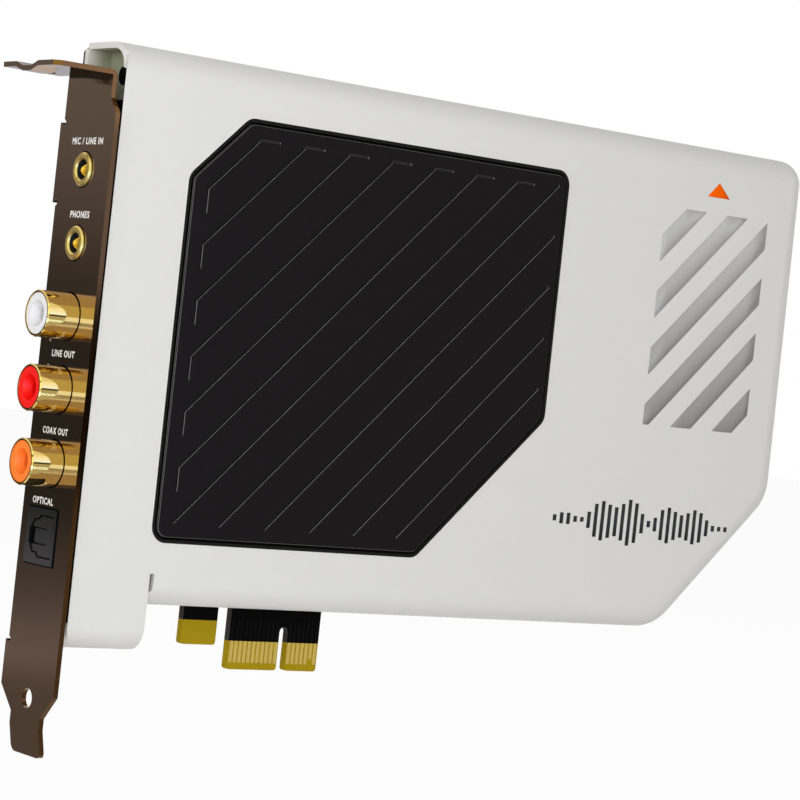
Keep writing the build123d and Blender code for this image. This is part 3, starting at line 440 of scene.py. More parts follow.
def corners_of(mesh: bpy.types.Mesh) -> np.ndarray:
    """Reads the points of a mesh.

    Args:
        mesh: The mesh.

    Returns:
        X, Y and Z of its points, one row each.
    """
    flat = np.empty(len(mesh.vertices) * 3)
    mesh.vertices.foreach_get("co", flat)
    return flat.reshape(-1, 3)


def tail_spots(node: str, width_mm: float, end_m: float = 1e-5) -> np.ndarray:
    """Finds where a group of like pieces ends behind the board.

    The points of the node that lie furthest along +Y are gathered into groups that are no wider than one
    piece, and each group gives the middle of its own box.

    Args:
        node: CAD node with the pieces.
        width_mm: Widest distance between two points of one piece.
        end_m: Points this close to the furthest one belong to an end.

    Returns:
        X and Z of each piece in metres, one row each.
    """
    corners = corners_of(frame["nodes"][node].data)
    ends = corners[corners[:, 1] > corners[:, 1].max() - end_m][:, [0, 2]]
    ends = np.unique(np.round(ends, 6), axis=0)
    near = np.linalg.norm(ends[:, None] - ends[None], axis=2) < width_mm * MM
    first = near.argmax(axis=1)
    groups = [ends[first == key] for key in np.unique(first)]
    return np.array([(group.min(axis=0) + group.max(axis=0)) / 2 for group in groups])


def dress_nodes() -> None:
    """Gives every CAD node the finish of its record slot."""
    for row in frame["record"]["subparts"]:
        node = frame["nodes"][row["node"]]
        finish = NODE_FINISHES.get(row["node"], SLOT_FINISHES[Slot(row["material_slot"])])
        node.data.materials.clear()
        node.data.materials.append(finish.material())
        LOG.info("node %s: %s", row["node"], finish.name)


@dataclass
class ShroudPrint:
    """Printed field of stripes, pointer and sound-level bars on the shroud's face. Sizes in mm."""

    left: float = 71.6
    right: float = 99.7
    bottom: float = 52.95
    top: float = 96.6
    first_line: float = 13.9     # lower edge of the first stripe: Z minus X
    stripe_width: float = 5.5
    stripe_pitch: float = 11.35
    stripes: int = 6
    stripe_rows: int = 3
    stripe_columns: int = 9
    pointer: tuple[tuple[float, float], ...] = ((82.53, 99.85), (88.59, 99.84), (85.41, 102.82))
    pointer_steps: int = 5       # points along each side
    bars_left: float = 51.0
    bars_middle: float = 33.2
    bar_width: float = 0.9
    bar_pitch: float = 1.75
    bar_tallest: float = 11.5
    bar_least: float = 0.08      # share of the tallest bar
    bars: int = 27
    envelope: tuple[float, float] = (0.06, 0.88)   # start and length of the half sine over the row of bars
    swing: tuple[float, float] = (0.55, 0.45)      # mean and reach of the waves under it
    waves: tuple[float, float] = (9.0, 23.0)       # radians of the two waves along the row

    def __post_init__(self) -> None:
        """Takes the height of the print from the shroud's face."""
        self.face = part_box("shroud")[0].y - FILM_MM * MM

    def on_face(self, x: np.ndarray, z: np.ndarray) -> np.ndarray:
        """Puts X and Z in mm on the shroud's face, in metres."""
        return np.stack([x * MM, np.full_like(x, self.face), z * MM], axis=-1)

    def stripe_field(self) -> np.ndarray:
        """Diagonal stripes at 45 degrees, cut off by a rectangle.

        At each X a stripe runs from the higher of its own lower line and the rectangle's bottom to the lower
        of its upper line and the rectangle's top. Columns lie at even steps and where those change over.

        Returns:
            Patches of points, one per stripe.
        """
        line = self.first_line - self.stripe_pitch * np.arange(self.stripes)[:, None]
        start = np.clip(self.bottom - line - self.stripe_width, self.left, self.right)
        stop = np.clip(self.top - line, self.left, self.right)
        bends = np.concatenate([np.clip(self.bottom - line, start, stop),
                                np.clip(self.top - line - self.stripe_width, start, stop)], axis=1)
        even = start + (stop - start) * np.linspace(0, 1, self.stripe_columns)
        x = np.sort(np.concatenate([even, bends], axis=1), axis=1)
        low = np.maximum(x + line, self.bottom)
        high = np.minimum(x + line + self.stripe_width, self.top)
        share = np.linspace(0, 1, self.stripe_rows)[None, :, None]
        z = low[:, None, :] + share * (high - low)[:, None, :]
        return self.on_face(np.broadcast_to(x[:, None, :], z.shape).copy(), z)

    def pointer_field(self) -> np.ndarray:
        """Triangle: rows of points shrink from its base to its tip.

        Returns:
            One patch of points, base to tip by across.
        """
        base_left, base_right, tip = np.array(self.pointer)
        across, up = np.meshgrid(*2 * [np.linspace(0, 1, self.pointer_steps)])
        base = base_left + across[..., None] * (base_right - base_left)
        flat = base + up[..., None] * (tip - base)
        return self.on_face(flat[..., 0], flat[..., 1])[None]

    def bar_field(self) -> np.ndarray:
        """Upright bars whose heights follow the product of two waves under half a sine.

        Returns:
            Patches of points, one per bar.
        """
        share = np.linspace(0, 1, self.bars)
        swing = self.swing[0] + self.swing[1] * np.sin(self.waves[0] * share) * np.cos(self.waves[1] * share)
        over = np.sin(np.pi * (self.envelope[0] + self.envelope[1] * share))
        half = 0.5 * self.bar_tallest * np.clip(over * swing, self.bar_least, 1.0)
        x = self.bars_left + self.bar_pitch * np.arange(self.bars)
        across = np.array([0, self.bar_width])[None, None, :]
        up = np.array([-1, 1])[None, :, None]
        z = self.bars_middle + up * half[:, None, None] + 0 * across
        return self.on_face(x[:, None, None] + across + 0 * up, z)

    def build(self) -> None:
        """Makes the printed pieces."""
        for name, field, ink in (("shroud_stripes", self.stripe_field(), GREY_INK),
                                 ("shroud_pointer", self.pointer_field(), ORANGE_INK),
                                 ("shroud_level_bars", self.bar_field(), BLACK_INK)):
            add_piece(name, field, ink, film=True)


@dataclass(frozen=True)
class Label:
    """Words on the bracket: text, middle across and up, width and height in mm."""

    words: str
    y: float
    z: float
    width: float
    height: float = 1.25


@dataclass
class BracketLabels:
    """White socket names on the bracket's plate."""

    plate_x: float = -56.67
    stroke: float = 0.03         # widening of the letters, as a share of their size
    spacing: float = 1.18
    curve_steps: int = 4
    labels: tuple[Label, ...] = (
        Label("MIC / LINE IN", -6.67, 92.32, 10.4), Label("PHONES", -6.62, 79.43, 6.5),
        Label("LINE OUT", -6.07, 54.99, 7.7), Label("L", -1.18, 57.25, 0.4, 0.5),
        Label("R", -1.36, 52.65, 0.45, 0.5), Label("COAX OUT", -6.16, 41.46, 8.6),
        Label("OPTICAL", -4.49, 29.10, 7.0),
    )

    def letters(self, label: Label) -> bpy.types.Mesh:
        """Turns words into a flat mesh on the plate, as wide and as tall as they are printed.

        Letter width runs along -Y and letter height along +Z, so the faces look outwards along -X.

        Args:
            label: The words and their place.

        Returns:
            The mesh, in place.
        """
        curve = bpy.data.curves.new("letters", "FONT")
        curve.body, curve.offset = label.words, self.stroke
        curve.space_character, curve.resolution_u = self.spacing, self.curve_steps
        text = bpy.data.objects.new("letters", curve)
        mesh = bpy.data.meshes.new_from_object(text)
        bpy.data.objects.remove(text)
        bpy.data.curves.remove(curve)
        flat = corners_of(mesh)[:, :2]
        low, high = flat.min(axis=0), flat.max(axis=0)
        across, up = ((flat - (low + high) / 2) / (high - low) * (label.width, label.height)).T
        x = np.full_like(across, self.plate_x - FILM_MM)
        placed = np.stack([x, label.y - across, label.z + up], axis=-1) * MM
        mesh.vertices.foreach_set("co", placed.ravel())
        mesh.update()
        return mesh

    def build(self) -> None:
        """Makes one printed piece per label."""
        for label in self.labels:
            words = "".join(sign if sign.isalnum() else " " for sign in label.words.lower()).split()
            add_piece("_".join(["label", *words]), self.letters(label), WHITE_INK, film=True)


@dataclass
class JackInside:
    """Black bore liner and gilt contact leaf of a 3.5 mm jack. Sizes in mm."""

    name: str
    liner_start: float = 0.35    # behind the collar's face
    liner_end: float = 12.0
    liner_r: float = 1.785
    liner_wall: float = 0.06
    liner_segments: int = 48
    leaf_start: float = 0.95
    leaf_end: float = 7.0
    leaf_half: float = 1.35
    leaf_point: float = 1.2      # length of the leaf's pointed tip
    leaf_rise: float = 1.0
    leaf_crease: float = 0.25    # share of the rise that its long edges lack
    leaf_thick: float = 0.12
    leaf_grid: tuple[int, int] = (33, 9)
    leaf_crowding: float = 1.5   # power that draws the points towards the tip

    def __post_init__(self) -> None:
        """Finds the jack's axis and face from its collar."""
        low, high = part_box(self.name + "_collar")
        self.axis = np.array((low.x, (low.y + high.y) / 2, (low.z + high.z) / 2))

    def leaf(self) -> np.ndarray:
        """Leaf on the bore's +Y wall: a strip with a pointed tip that bows towards the axis.

        Its width grows from the tip as the square root of the distance, up to its full width. It leaves the
        wall and comes back to it as half a sine along its length, with a shallow crease along its middle. Its
        points lie closer together towards the tip.

        Returns:
            One patch of points, across by along.
        """
        length, breadth = self.leaf_grid
        along = np.linspace(0, 1, length)[None, :] ** self.leaf_crowding
        across = np.linspace(-1, 1, breadth)[:, None]
        x = self.leaf_start + (self.leaf_end - self.leaf_start) * along + 0 * across
        half = self.leaf_half * np.sqrt(np.clip((x - self.leaf_start) / self.leaf_point, 0, 1))
        z = half * across
        wall = np.sqrt(self.liner_r ** 2 - z ** 2) - 2 * self.liner_wall
        y = wall - self.leaf_rise * np.sin(np.pi * along) * (1 - self.leaf_crease * np.abs(across))
        return np.stack([x, y, z], axis=-1)[None] * MM + self.axis

    def build(self) -> None:
        """Makes the liner and the leaf."""
        inner, bottom = self.liner_r - self.liner_wall, self.liner_end + self.liner_wall
        cup = [(self.liner_end, 0), (self.liner_end, inner), (self.liner_start, inner),
               (self.liner_start, self.liner_r), (bottom, self.liner_r), (bottom, 0)]
        liner = turned(cup, [self.axis], Along.X, self.liner_segments)
        add_piece(self.name + "_liner", liner, BLACK_EPOXY, closed=True)
        leaf = add_piece(self.name + "_leaf", self.leaf(), LEAF_GOLD, film=True)
        leaf.modifiers["film"].thickness = self.leaf_thick * MM


@dataclass
class OpticalSocket:
    """Pad on the shutter that nearly fills the optical socket's mouth, and a black ring round the socket as
    painted shade.

    Sizes in mm. Y and Z are taken from the middle of the socket, and the pad's X from its front face.
    """

    middle_y: float = -5.2
    front: float = 0.15
    field_front: float = 0.42
    groove_floor: float = 0.95
    back: float = 1.22
    half_outline: tuple[tuple[float, float], ...] = (
        (-3.72, 3.53), (0.36, 3.53), (1.11, 2.78), (2.27, 2.78), (3.02, 1.76), (2.62, 1.5),
    )
    rim_near: float = -2.0       # inner side of the pad's rim, away from the hinge
    groove: float = 0.24
    edge_break: float = 0.06
    shade_ring_inner: float = 4.91
    shade_ring_outer: float = 5.14
    shade_ring_x: tuple[float, float] = (-56.35, -55.7)

    def __post_init__(self) -> None:
        """Finds the middle of the socket's front face from the housing and the shutter's pin."""
        pin_low, pin_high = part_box("shutter_pin")
        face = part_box("optical_housing")[0].x
        self.middle = np.array((face, self.middle_y * MM, (pin_low.z + pin_high.z) / 2))

    def prism(self, outline: np.ndarray, front: float, back: float) -> tuple[np.ndarray, list[list[int]]]:
        """Straight prism along X.

        Args:
            outline: Y and Z of its corners.
            front: X of its front face.
            back: X of its back face.

        Returns:
            Its corners, front ring first, and its faces.
        """
        count = len(outline)
        ring, ahead = np.arange(count), np.roll(np.arange(count), -1)
        corners = np.column_stack([np.repeat([front, back], count), np.tile(outline, (2, 1))])
        sides = np.column_stack([ring, ring + count, ahead + count, ahead])
        return corners, [ring.tolist(), (ring[::-1] + count).tolist(), *sides.tolist()]

    def build_pad(self) -> None:
        """Makes the pad from a base, a raised rim that is open towards the hinge, and a low field inside it.

        A narrow groove parts the field from the rim.
        """
        upper = np.array(self.half_outline)
        lower = upper[::-1] * (1, -1)
        far, side = upper[-1]
        near, half = self.rim_near + self.groove, side - self.groove
        rim_inside = np.array([(self.rim_near, side), (self.rim_near, -side)])
        field = np.array([(near, half), (far, half), (far, -half), (near, -half)])
        parts = (self.prism(np.concatenate([upper, lower]), self.groove_floor, self.back),
                 self.prism(np.concatenate([upper, rim_inside, lower]), self.front, self.groove_floor),
                 self.prism(field, self.field_front, self.groove_floor))
        corners, faces = np.empty((0, 3)), []
        for part_corners, part_faces in parts:
            faces += [[corner + len(corners) for corner in face] for face in part_faces]
            corners = np.concatenate([corners, part_corners])
        mesh = bpy.data.meshes.new("shutter_pad")
        mesh.from_pydata((corners * MM + self.middle).tolist(), [], faces)
        work = bmesh.new()
        work.from_mesh(mesh)
        bmesh.ops.recalc_face_normals(work, faces=work.faces)
        work.to_mesh(mesh)
        work.free()
        pad = add_piece("shutter_pad", mesh, GREY_NYLON, body=Body.SHUTTER)
        soft = pad.modifiers.new("edge_break", "BEVEL")
        soft.width, soft.segments, soft.limit_method = self.edge_break * MM, 2, "ANGLE"

    def build_shade_ring(self) -> None:
        """Carries the black ring's oblong profile round a square, as painted shade in the gap that the
        bracket's window leaves.
        """
        corner = np.array([(0, -1, -1), (0, -1, 1), (0, 1, 1), (0, 1, -1)])
        front, back = self.shade_ring_x
        profile = ((self.shade_ring_outer, front), (self.shade_ring_inner, front), (self.shade_ring_inner, back),
                   (self.shade_ring_outer, back), (self.shade_ring_outer, front))
        middle = self.middle * (0, 1, 1)
        rings = [corner * half * MM + middle + (x * MM, 0, 0) for half, x in profile]
        add_piece("optical_shade_ring", np.stack(rings)[None], SHADE_BLACK, closed=True)


@dataclass
class PanelRim:
    """Black rim that fills the shroud's window round the raised field and leaves a narrow dark gap beside it.

    Sizes in mm. Its outline is the window's: a rectangle with its upper left and lower right corners cut off.
    """

    left: float = -40.1
    right: float = 46.35
    bottom: float = 23.7
    top: float = 100.2
    upper_leg: float = 11.5
    lower_leg: float = 28.0
    corner_r: float = 3.0
    corner_steps: int = 13
    outer_inset: float = 0.02
    inner_inset: float = 0.62
    edge_break: float = 0.05
    below_face: float = 0.02
    depth: float = 1.09

    def outline(self, inset: float) -> np.ndarray:
        """Window outline moved inwards, with every corner rounded.

        Each corner is an arc that leaves the incoming side and turns into the outgoing one: its points are
        the arc's centre plus the outward normal of the incoming side turned step by step.

        Args:
            inset: Distance from the window's edge.

        Returns:
            X and Z of the points, clockwise as seen from the front.
        """
        left, right, low, high = self.left + inset, self.right - inset, self.bottom + inset, self.top - inset
        upper = self.top - self.left - self.upper_leg - inset * np.sqrt(2)
        lower = self.right - self.bottom - self.lower_leg - inset * np.sqrt(2)
        corner = np.array([(left, low), (left, left + upper), (high - upper, high), (right, high),
                           (right, right - lower), (low + lower, low)])
        ahead = np.roll(corner, -1, axis=0) - corner
        ahead /= np.linalg.norm(ahead, axis=1, keepdims=True)
        behind = np.roll(ahead, 1, axis=0)
        turn = np.arccos(np.sum(ahead * behind, axis=1))
        outward = np.column_stack([-behind[:, 1], behind[:, 0]])
        radius = self.corner_r - inset
        centre = corner - radius * np.tan(turn / 2)[:, None] * behind - radius * outward
        angle = (turn[:, None] * np.linspace(0, 1, self.corner_steps))[..., None]
        arcs = centre[:, None] + radius * (np.cos(angle) * outward[:, None] + np.sin(angle) * behind[:, None])
        return arcs.reshape(-1, 2)

    def build(self) -> None:
        """Carries the rim's profile round the window's outline."""
        face, broken = self.below_face, self.below_face + self.edge_break
        profile = ((self.inner_inset, self.depth), (self.inner_inset, broken),
                   (self.inner_inset - self.edge_break, face), (self.outer_inset + self.edge_break, face),
                   (self.outer_inset, broken), (self.outer_inset, self.depth), (self.inner_inset, self.depth))
        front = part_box("shroud")[0].y
        rings = [np.insert(self.outline(inset) * MM, 1, front + deep * MM, axis=1) for inset, deep in profile]
        add_piece("panel_rim", np.stack(rings)[None], RIM_ABS, closed=True)


@dataclass
class BulkheadHoleShade:
    """Black plug in the hole of the shroud's end wall, as painted shade for the dark hole. Sizes in mm, its
    profile's from the wall.
    """

    y: float = -7.185
    z: float = 104.6
    face: float = -51.0
    segments: int = 40
    profile: tuple[tuple[float, float], ...] = (
        (1.3, 0.0), (1.3, 1.42), (-0.02, 1.42), (-0.02, 1.72), (-0.12, 1.76), (-0.22, 1.68), (-0.26, 1.2),
        (-0.28, 0.6), (-0.28, 0.0),
    )

    def build(self) -> None:
        """Turns the plug's profile about the hole's axis."""
        spot = np.array((self.face, self.y, self.z)) * MM
        plug = turned(self.profile, [spot], Along.X, self.segments)
        add_piece("bulkhead_hole_shade", plug, SHADE_BLACK, closed=True)


@dataclass
class SolderSide:
    """Solder cones round the pin tails, and tinned rings under the screw heads. Sizes in mm."""

    pad_r: float = 1.0
    pin_r: float = 0.5
    rise: float = 0.85
    cone_rows: int = 7
    cone_segments: int = 20
    ring_inner: float = 1.5
    ring_outer: float = 3.3
    ring_segments: int = 48
    pin_width: float = 1.2       # no pin's end is wider than this, and no two pins lie closer
    screw_width: float = 5.0
    pin_nodes: tuple[str, ...] = (
        "mic_jack_pins", "phones_jack_pins", "left_phono_pins", "right_phono_pins", "coax_phono_pins",
    )
    screw_nodes: tuple[str, ...] = ("bracket_screws", "shroud_screws")

    def spots(self, nodes: Sequence[str], width: float) -> np.ndarray:
        """Finds where the pieces of some nodes come out of the board's back.

        Args:
            nodes: CAD nodes with like pieces.
            width: Widest distance between two points of one piece.

        Returns:
            Points in metres, one row each.
        """
        flat = np.concatenate([tail_spots(node, width) for node in nodes])
        return np.insert(flat, 1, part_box("circuit_board")[1].y, axis=1)

    def build(self) -> None:
        """Makes the solder joints and the rings.

        A joint is a cone whose radius falls from the pad to the pin as the square of what is left of its
        height. A ring is flat, thin enough to pass for tinned copper.
        """
        share = np.linspace(0, 1, self.cone_rows)
        radius = self.pin_r + (self.pad_r - self.pin_r) * (1 - share) ** 2
        cone = [(0, 0), *zip(FILM_MM + self.rise * share, radius), (self.rise + FILM_MM, 0)]
        joints = turned(cone, self.spots(self.pin_nodes, self.pin_width), Along.Y, self.cone_segments)
        add_piece("solder_joints", joints, SOLDER, closed=True)
        ring = [(FILM_MM, self.ring_outer), (FILM_MM, self.ring_inner)]
        rings = turned(ring, self.spots(self.screw_nodes, self.screw_width), Along.Y, self.ring_segments)
        add_piece("screw_rings", rings, SOLDER, film=True, closed=True)


@dataclass
class ConnectorTracks:
    """Copper tracks that run up from the contact fingers on both faces of the board. Sizes in mm."""

    width: float = 0.36
    bottom: float = 5.35
    top: float = 9.6
    lean: float = 0.12           # sideways shift of a track's upper end
    steps: int = 9

    def finger_middles(self) -> np.ndarray:
        """Finds the middle of each finger in mm from the left and right edges of the fingers' points."""
        edges = np.unique(np.round(corners_of(frame["nodes"]["edge_contacts"].data)[:, 0] / MM, 3))
        return edges.reshape(-1, 2).mean(axis=1)

    def tracks(self, face: float, outward: float) -> np.ndarray:
        """Tracks on one face: straight up for two thirds of the height, then leaning as a smooth step.

        Args:
            face: Y of the board's face in metres.
            outward: -1 for the component side, 1 for the solder side.

        Returns:
            Patches of points, one per track.
        """
        middle = self.finger_middles()[:, None, None]
        share = np.linspace(0, 1, self.steps)[None, :, None]
        across = np.array([-0.5, 0.5])[None, None, :] * -outward
        step = np.clip(3 * share - 2, 0, 1)
        turns = np.where(np.arange(len(middle)) % 2, 1, -1)[:, None, None]
        x = middle + self.lean * (3 * step ** 2 - 2 * step ** 3) * turns + self.width * across
        z = self.bottom + (self.top - self.bottom) * share + 0 * x
        return np.stack([x * MM, np.full_like(x, face + outward * FILM_MM * MM), z * MM], axis=-1)

    def build(self) -> None:
        """Makes the tracks of both faces as one piece."""
        low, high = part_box("circuit_board")
        both = np.concatenate([self.tracks(low.y, -1.0), self.tracks(high.y, 1.0)])
        add_piece("connector_tracks", both, MASKED_COPPER, film=True)


@dataclass(frozen=True)
class TrackBundle:
    """Like tracks side by side: the first one's corners, their steps to the next track, count and width."""

    corners: tuple[tuple[float, float], ...]
    steps: tuple[tuple[float, float], ...]
    count: int
    width: float
    joined: bool = False         # whether the first ends meet other copper and need no plated hole


@dataclass
class BackTracks:
    """Copper tracks on the solder side, with a plated hole at each loose end. Sizes in mm."""

    hole_r: float = 0.2
    pad_r: float = 0.45
    hole_segments: int = 16
    bundles: tuple[TrackBundle, ...] = (
        # From the connector up and away from the bracket
        TrackBundle(((-11.15, 9.7), (-11.15, 29.6), (6.85, 47.6), (6.85, 61.6)),
                    ((1.0, 0.0), (1.0, -0.8), (1.0, -0.8), (1.0, -0.8)), 11, 0.36, joined=True),
        TrackBundle(((2.35, 9.7), (2.35, 18.4), (26.35, 42.4), (44.35, 42.4)),
                    ((1.0, 0.0), (1.0, -0.8), (1.0, -0.8), (0.2, -0.8)), 6, 0.36, joined=True),
        # From the sockets towards the middle of the board
        TrackBundle(((-35.0, 90.0), (-22.0, 90.0), (-14.0, 82.0), (8.0, 82.0)),
                    ((0.0, -1.6), (-0.66, -1.6), (-0.66, -1.6), (-1.5, -1.6)), 6, 0.6),
        TrackBundle(((-35.0, 62.0), (-25.0, 62.0), (-19.0, 68.0), (2.0, 68.0)),
                    ((0.0, -1.6), (0.66, -1.6), (0.66, -1.6), (-1.5, -1.6)), 5, 0.6),
        # Wide supply tracks towards the tail
        TrackBundle(((40.0, 28.0), (62.0, 28.0), (76.0, 42.0), (76.0, 84.0)),
                    ((0.0, 3.2), (-1.33, 3.2), (-3.2, 1.33), (-3.2, -3.0)), 3, 1.8),
    )

    def ribbons(self, bundle: TrackBundle, y: float) -> np.ndarray:
        """Flat ribbons along the tracks' corners.

        At a corner the ribbon's edges lie on the line that halves the angle: the mean of the two sides'
        normals, made longer by one over its dot product with either of them.

        Args:
            bundle: The tracks.
            y: Where the copper's outer face lies, in metres.

        Returns:
            Patches of points, one per track.
        """
        order = np.arange(bundle.count)[:, None, None]
        line = np.array(bundle.corners)[None] + order * np.array(bundle.steps)[None]
        run = np.diff(line, axis=1)
        run /= np.linalg.norm(run, axis=2, keepdims=True)
        side = np.stack([-run[..., 1], run[..., 0]], axis=-1)
        before = np.concatenate([side[:, :1], side], axis=1)
        after = np.concatenate([side, side[:, -1:]], axis=1)
        offset = (before + after) / (1 + np.sum(before * after, axis=2, keepdims=True))
        across = np.array([-0.5, 0.5])[None, None, :, None] * bundle.width
        flat = (line[:, :, None] + across * offset[:, :, None]) * MM
        return np.insert(flat, 1, y, axis=-1)

    def loose_ends(self, bundle: TrackBundle) -> np.ndarray:
        """Finds the ends of the tracks that need a plated hole.

        Args:
            bundle: The tracks.

        Returns:
            X and Z in mm, one row each.
        """
        order = np.arange(bundle.count)[:, None]
        loose = (-1,) if bundle.joined else (0, -1)
        return np.concatenate([bundle.corners[end] + order * bundle.steps[end] for end in loose])

    def build(self) -> None:
        """Makes the tracks as one piece, and the flat rings round the plated holes as another."""
        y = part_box("circuit_board")[1].y + FILM_MM * MM
        tracks = np.concatenate([self.ribbons(bundle, y) for bundle in self.bundles])
        add_piece("back_tracks", tracks, BACK_COPPER, film=True)
        ends = np.concatenate([self.loose_ends(bundle) for bundle in self.bundles])
        spots = np.insert(ends * MM, 1, y + FILM_MM * MM, axis=1)
        rings = turned([(0.0, self.pad_r), (0.0, self.hole_r)], spots, Along.Y, self.hole_segments)
        add_piece("plated_holes", rings, SOLDER, film=True, closed=True)


@dataclass(frozen=True)
class Sheet:
    """A sheet of light that only reflections see, straight across and bent along a line of rows. Sizes in mm.

    It faces the sockets from a direction, and its colour changes along one axis from stop to stop.
    """

    name: str
    ahead: tuple[float, float]
    half: float
    rows: tuple[tuple[float, float], ...]
    stops: tuple[tuple[float, str], ...]
    strength: float = 1.0
    axis: Along = Along.Z


@dataclass(frozen=True)
class Lamp:
    """A soft square lamp: its name, its place and size in metres, and its power in watts."""

    name: str
    at: tuple[float, float, float]
    watts: float
    size: float


FLOOR_DROP_MM, FOOT_RISE_MM = 60.0, 3.0      # from the card down to the floor, and up to the sheets' feet
FLOOR_MM = CAD_BOX[0].z / MM - FLOOR_DROP_MM
LOW_MM = FLOOR_MM + FOOT_RISE_MM
SHEETS: tuple[Sheet, ...] = (
    # Dark flag that the bracket's plate mirrors, paler along its foot and its head
    Sheet("dark_flag", (-0.51, 0.86), 130.0, ((80.0, LOW_MM), (600.0, LOW_MM), (600.0, 350.0)), (
        (LOW_MM, "#736C67"), (-66.0, "#999191"), (-36.0, "#64615E"), (-6.0, "#3D3C38"), (55.0, "#3D3C38"),
        (83.0, "#53514D"), (112.0, "#736F6C"), (144.0, "#86837F"), (350.0, "#86837F"))),
    # Dark flag beyond the bracket, for views from that end
    Sheet("end_flag", (-1.0, 0.0), 300.0, ((120.0, LOW_MM), (600.0, LOW_MM), (600.0, 350.0)), (
        (LOW_MM, "#6B6763"), (350.0, "#6B6763"))),
    # Bright floor towards the camera, which the barrels see by way of the plate, and an even screen behind it
    Sheet("front_floor", (-0.51, -0.86), 300.0, ((100.0, LOW_MM), (3000.0, LOW_MM)), (
        (-2586.0, "#ABCBFF"), (-140.0, "#ABCBFF"), (-100.0, "#6C6C70"), (-86.0, "#6C6C70")), 6.4, Along.Y),
    Sheet("front_screen", (-0.51, -0.86), 3000.0, ((3000.0, LOW_MM), (3000.0, 3000.0)), (
        (LOW_MM, "#F1FFE0"), (3000.0, "#F1FFE0")), 1.65),
    # Grey floor beside the card and a pale screen with a dark foot, which the barrels' front ends see
    Sheet("side_floor", (0.51, -0.86), 300.0, ((60.0, LOW_MM), (3000.0, LOW_MM)), (
        (LOW_MM - 1.0, "#C3C3C3"), (LOW_MM + 1.0, "#C3C3C3"))),
    Sheet("side_screen", (0.51, -0.86), 60.0, ((600.0, 0.0), (600.0, 420.0)), (
        (0.0, "#262626"), (70.0, "#262626"), (80.0, "#AEC1FF"), (240.0, "#AAB4D8"), (420.0, "#AAAAAA")), 3.0),
    # Grey screen beyond the card that the underside of the bracket's flange mirrors
    Sheet("back_screen", (0.51, 0.86), 400.0, ((500.0, LOW_MM), (500.0, 400.0)), (
        (LOW_MM, "#BDBDC4"), (400.0, "#BDBDC4"))),
)


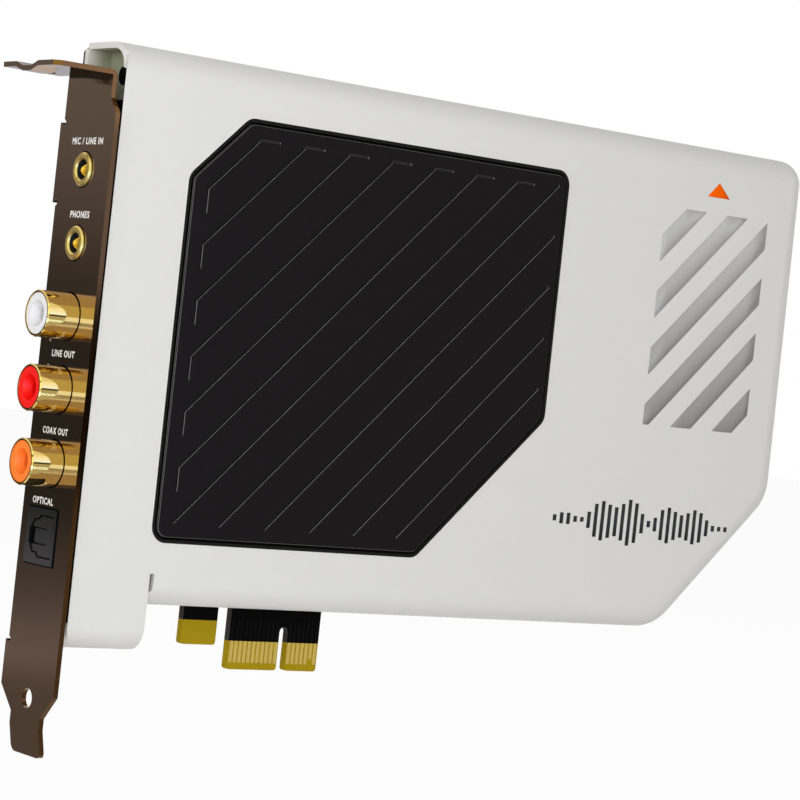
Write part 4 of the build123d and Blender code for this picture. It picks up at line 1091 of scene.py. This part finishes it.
@dataclass
class Studio:
    """Camera, white floor and surroundings, lamps, and the sheets that the metals mirror. Sizes in mm."""

    camera_at: tuple[float, float, float] = (-310.06, -442.48, 57.62)
    camera_ahead: tuple[float, float, float] = (0.60015, 0.79990, 0.0)
    camera_roll_deg: float = 6.1
    lens: float = 129.39
    sensor: float = 36.0
    shift: tuple[float, float] = (-0.0034, -0.0314)
    clip_m: tuple[float, float] = (0.01, 20.0)
    floor_half: float = 4000.0
    floor_colour: str = "#F4F4F4"
    floor_glow: float = 0.94     # share of its own white that the floor shows; the rest keeps the shadow
    ambient: float = 0.46
    ports: tuple[float, float] = (-57.0, -6.0)   # X and Y of the sockets
    lamps: tuple[Lamp, ...] = (
        Lamp("key_lamp", (-0.30, -0.45, 0.12), 1.55, 0.4), Lamp("side_lamp", (-0.80, -0.05, 0.15), 1.5, 0.4),
        Lamp("back_lamp", (0.5, 0.8, 0.6), 2.0, 0.6),
    )

    def add_camera(self) -> None:
        """Stands the camera where the picture was taken from, level but rolled."""
        data = bpy.data.cameras.new("camera")
        data.lens, data.sensor_width = self.lens, self.sensor
        data.shift_x, data.shift_y = self.shift
        data.clip_start, data.clip_end = self.clip_m
        ahead = Vector(self.camera_ahead).normalized()
        level = ahead.cross(Vector((0, 0, 1)))
        right = Matrix.Rotation(-np.radians(self.camera_roll_deg), 3, ahead) @ level
        turn = Matrix((right, right.cross(ahead), -ahead)).transposed()
        camera = bpy.data.objects.new("camera", data)
        camera.matrix_world = Matrix.Translation(Vector(self.camera_at) * MM) @ turn.to_4x4()
        bpy.context.scene.collection.objects.link(camera)
        bpy.context.scene.camera = camera

    def add_card(self, name: str, corners: np.ndarray, glossy_only: bool) -> bpy.types.Object:
        """Adds a sheet that is part of the studio.

        Args:
            name: Name of the card.
            corners: Points in metres, as rows by columns by 3.
            glossy_only: Whether only reflections see it.

        Returns:
            The card.
        """
        card = bpy.data.objects.new(name, grid_mesh(name, corners[None]))
        bpy.context.scene.collection.objects.link(card)
        if glossy_only:
            card.visible_camera = card.visible_diffuse = card.visible_shadow = False
            card.visible_transmission = card.visible_volume_scatter = False
        return card

    def seen(self, tree: bpy.types.NodeTree) -> bpy.types.NodeSocket:
        """Gives 1 to the camera, in reflections and through glass, and 0 to light that falls on things.

        Args:
            tree: Node tree that gets the nodes.

        Returns:
            A socket with 1 or 0.
        """
        path = add_node(tree, "ShaderNodeLightPath").outputs
        either = path["Is Camera Ray"]
        for other in ("Is Glossy Ray", "Is Transmission Ray"):
            either = add_node(tree, "ShaderNodeMath", {0: either, 1: path[other]},
                              operation="MAXIMUM").outputs[0]
        return either

    def add_world(self) -> None:
        """White all round where it is seen, and an even soft light from it."""
        world = bpy.data.worlds.new("studio")
        world.use_nodes = True
        tree = world.node_tree
        level = add_node(tree, "ShaderNodeMapRange", {
            "Value": self.seen(tree), "To Min": self.ambient, "To Max": 1.0})
        background = tree.nodes["Background"]
        background.inputs["Color"].default_value = (1, 1, 1, 1)
        tree.links.new(level.outputs["Result"], background.inputs["Strength"])
        bpy.context.scene.world = world

    def add_floor(self) -> None:
        """White floor below the card that keeps a faint shadow."""
        material = bpy.data.materials.new("white_paper_floor")
        material.use_nodes = True
        tree = material.node_tree
        tree.nodes.clear()
        paper = add_node(tree, "ShaderNodeBsdfDiffuse", {"Color": linear(self.floor_colour)})
        glow = add_node(tree, "ShaderNodeEmission", {"Color": (1, 1, 1, 1), "Strength": 1.0})
        share = add_node(tree, "ShaderNodeMath", {0: self.seen(tree), 1: self.floor_glow},
                         operation="MULTIPLY")
        mix = add_node(tree, "ShaderNodeMixShader", {
            0: share.outputs[0], 1: paper.outputs[0], 2: glow.outputs[0]})
        add_node(tree, "ShaderNodeOutputMaterial", {"Surface": mix.outputs[0]})
        half = self.floor_half * MM
        x, y = np.meshgrid([-half, half], [-half, half])
        corners = np.stack([x, y, np.full_like(x, FLOOR_MM * MM)], axis=-1)
        self.add_card("floor", corners, glossy_only=False).data.materials.append(material)

    def glow(self, sheet: Sheet) -> bpy.types.Material:
        """Makes a sheet's own light.

        Args:
            sheet: The sheet.

        Returns:
            The material.
        """
        material = bpy.data.materials.new(sheet.name + "_light")
        material.use_nodes = True
        tree = material.node_tree
        tree.nodes.clear()
        low, high = sheet.stops[0][0], sheet.stops[-1][0]
        share = add_node(tree, "ShaderNodeMapRange", {
            "Value": sheet.axis.read(tree), "From Min": low, "From Max": high})
        ramp = add_node(tree, "ShaderNodeValToRGB", {"Fac": share.outputs["Result"]})
        while len(ramp.color_ramp.elements) < len(sheet.stops):
            ramp.color_ramp.elements.new(1.0)
        for element, (level, colour) in zip(ramp.color_ramp.elements, sheet.stops):
            element.position, element.color = (level - low) / (high - low), linear(colour)
        light = add_node(tree, "ShaderNodeEmission", {
            "Color": ramp.outputs["Color"], "Strength": sheet.strength})
        add_node(tree, "ShaderNodeOutputMaterial", {"Surface": light.outputs[0]})
        return material

    def add_sheets(self) -> None:
        """Stands the reflected sheets round the sockets."""
        for sheet in SHEETS:
            reach, height = np.array(sheet.rows).T[:, :, None]
            across = np.array([-sheet.half, sheet.half])[None, :]
            x = self.ports[0] + sheet.ahead[0] * reach + sheet.ahead[1] * across
            y = self.ports[1] + sheet.ahead[1] * reach - sheet.ahead[0] * across
            corners = np.stack([x, y, height + 0 * across], axis=-1) * MM
            self.add_card(sheet.name, corners, glossy_only=True).data.materials.append(self.glow(sheet))

    def add_lamps(self) -> None:
        """Points each lamp at the middle of the card."""
        middle = (CAD_BOX[0] + CAD_BOX[1]) / 2
        for lamp in self.lamps:
            data = bpy.data.lights.new(lamp.name, "AREA")
            data.energy, data.size = lamp.watts, lamp.size
            made = bpy.data.objects.new(lamp.name, data)
            made.location = lamp.at
            made.rotation_mode = "QUATERNION"
            made.rotation_quaternion = (middle - Vector(lamp.at)).to_track_quat("-Z", "Y")
            made.visible_glossy = False
            bpy.context.scene.collection.objects.link(made)

    def build(self) -> None:
        """Sets up the whole studio."""
        bpy.context.scene.view_settings.view_transform = "Standard"
        self.add_camera()
        self.add_world()
        self.add_floor()
        self.add_sheets()
        self.add_lamps()


def main() -> None:
    """Dresses the card, adds its small pieces and sets up the studio."""
    logging.basicConfig(level=logging.INFO, format="%(message)s")
    dress_nodes()
    ShroudPrint().build()
    BracketLabels().build()
    for name in ("mic_jack", "phones_jack"):
        JackInside(name).build()
    socket = OpticalSocket()
    socket.build_pad()
    PanelRim().build()
    BulkheadHoleShade().build()
    socket.build_shade_ring()
    SolderSide().build()
    ConnectorTracks().build()
    BackTracks().build()
    Studio().build()


if __name__ == "__main__":
    main()
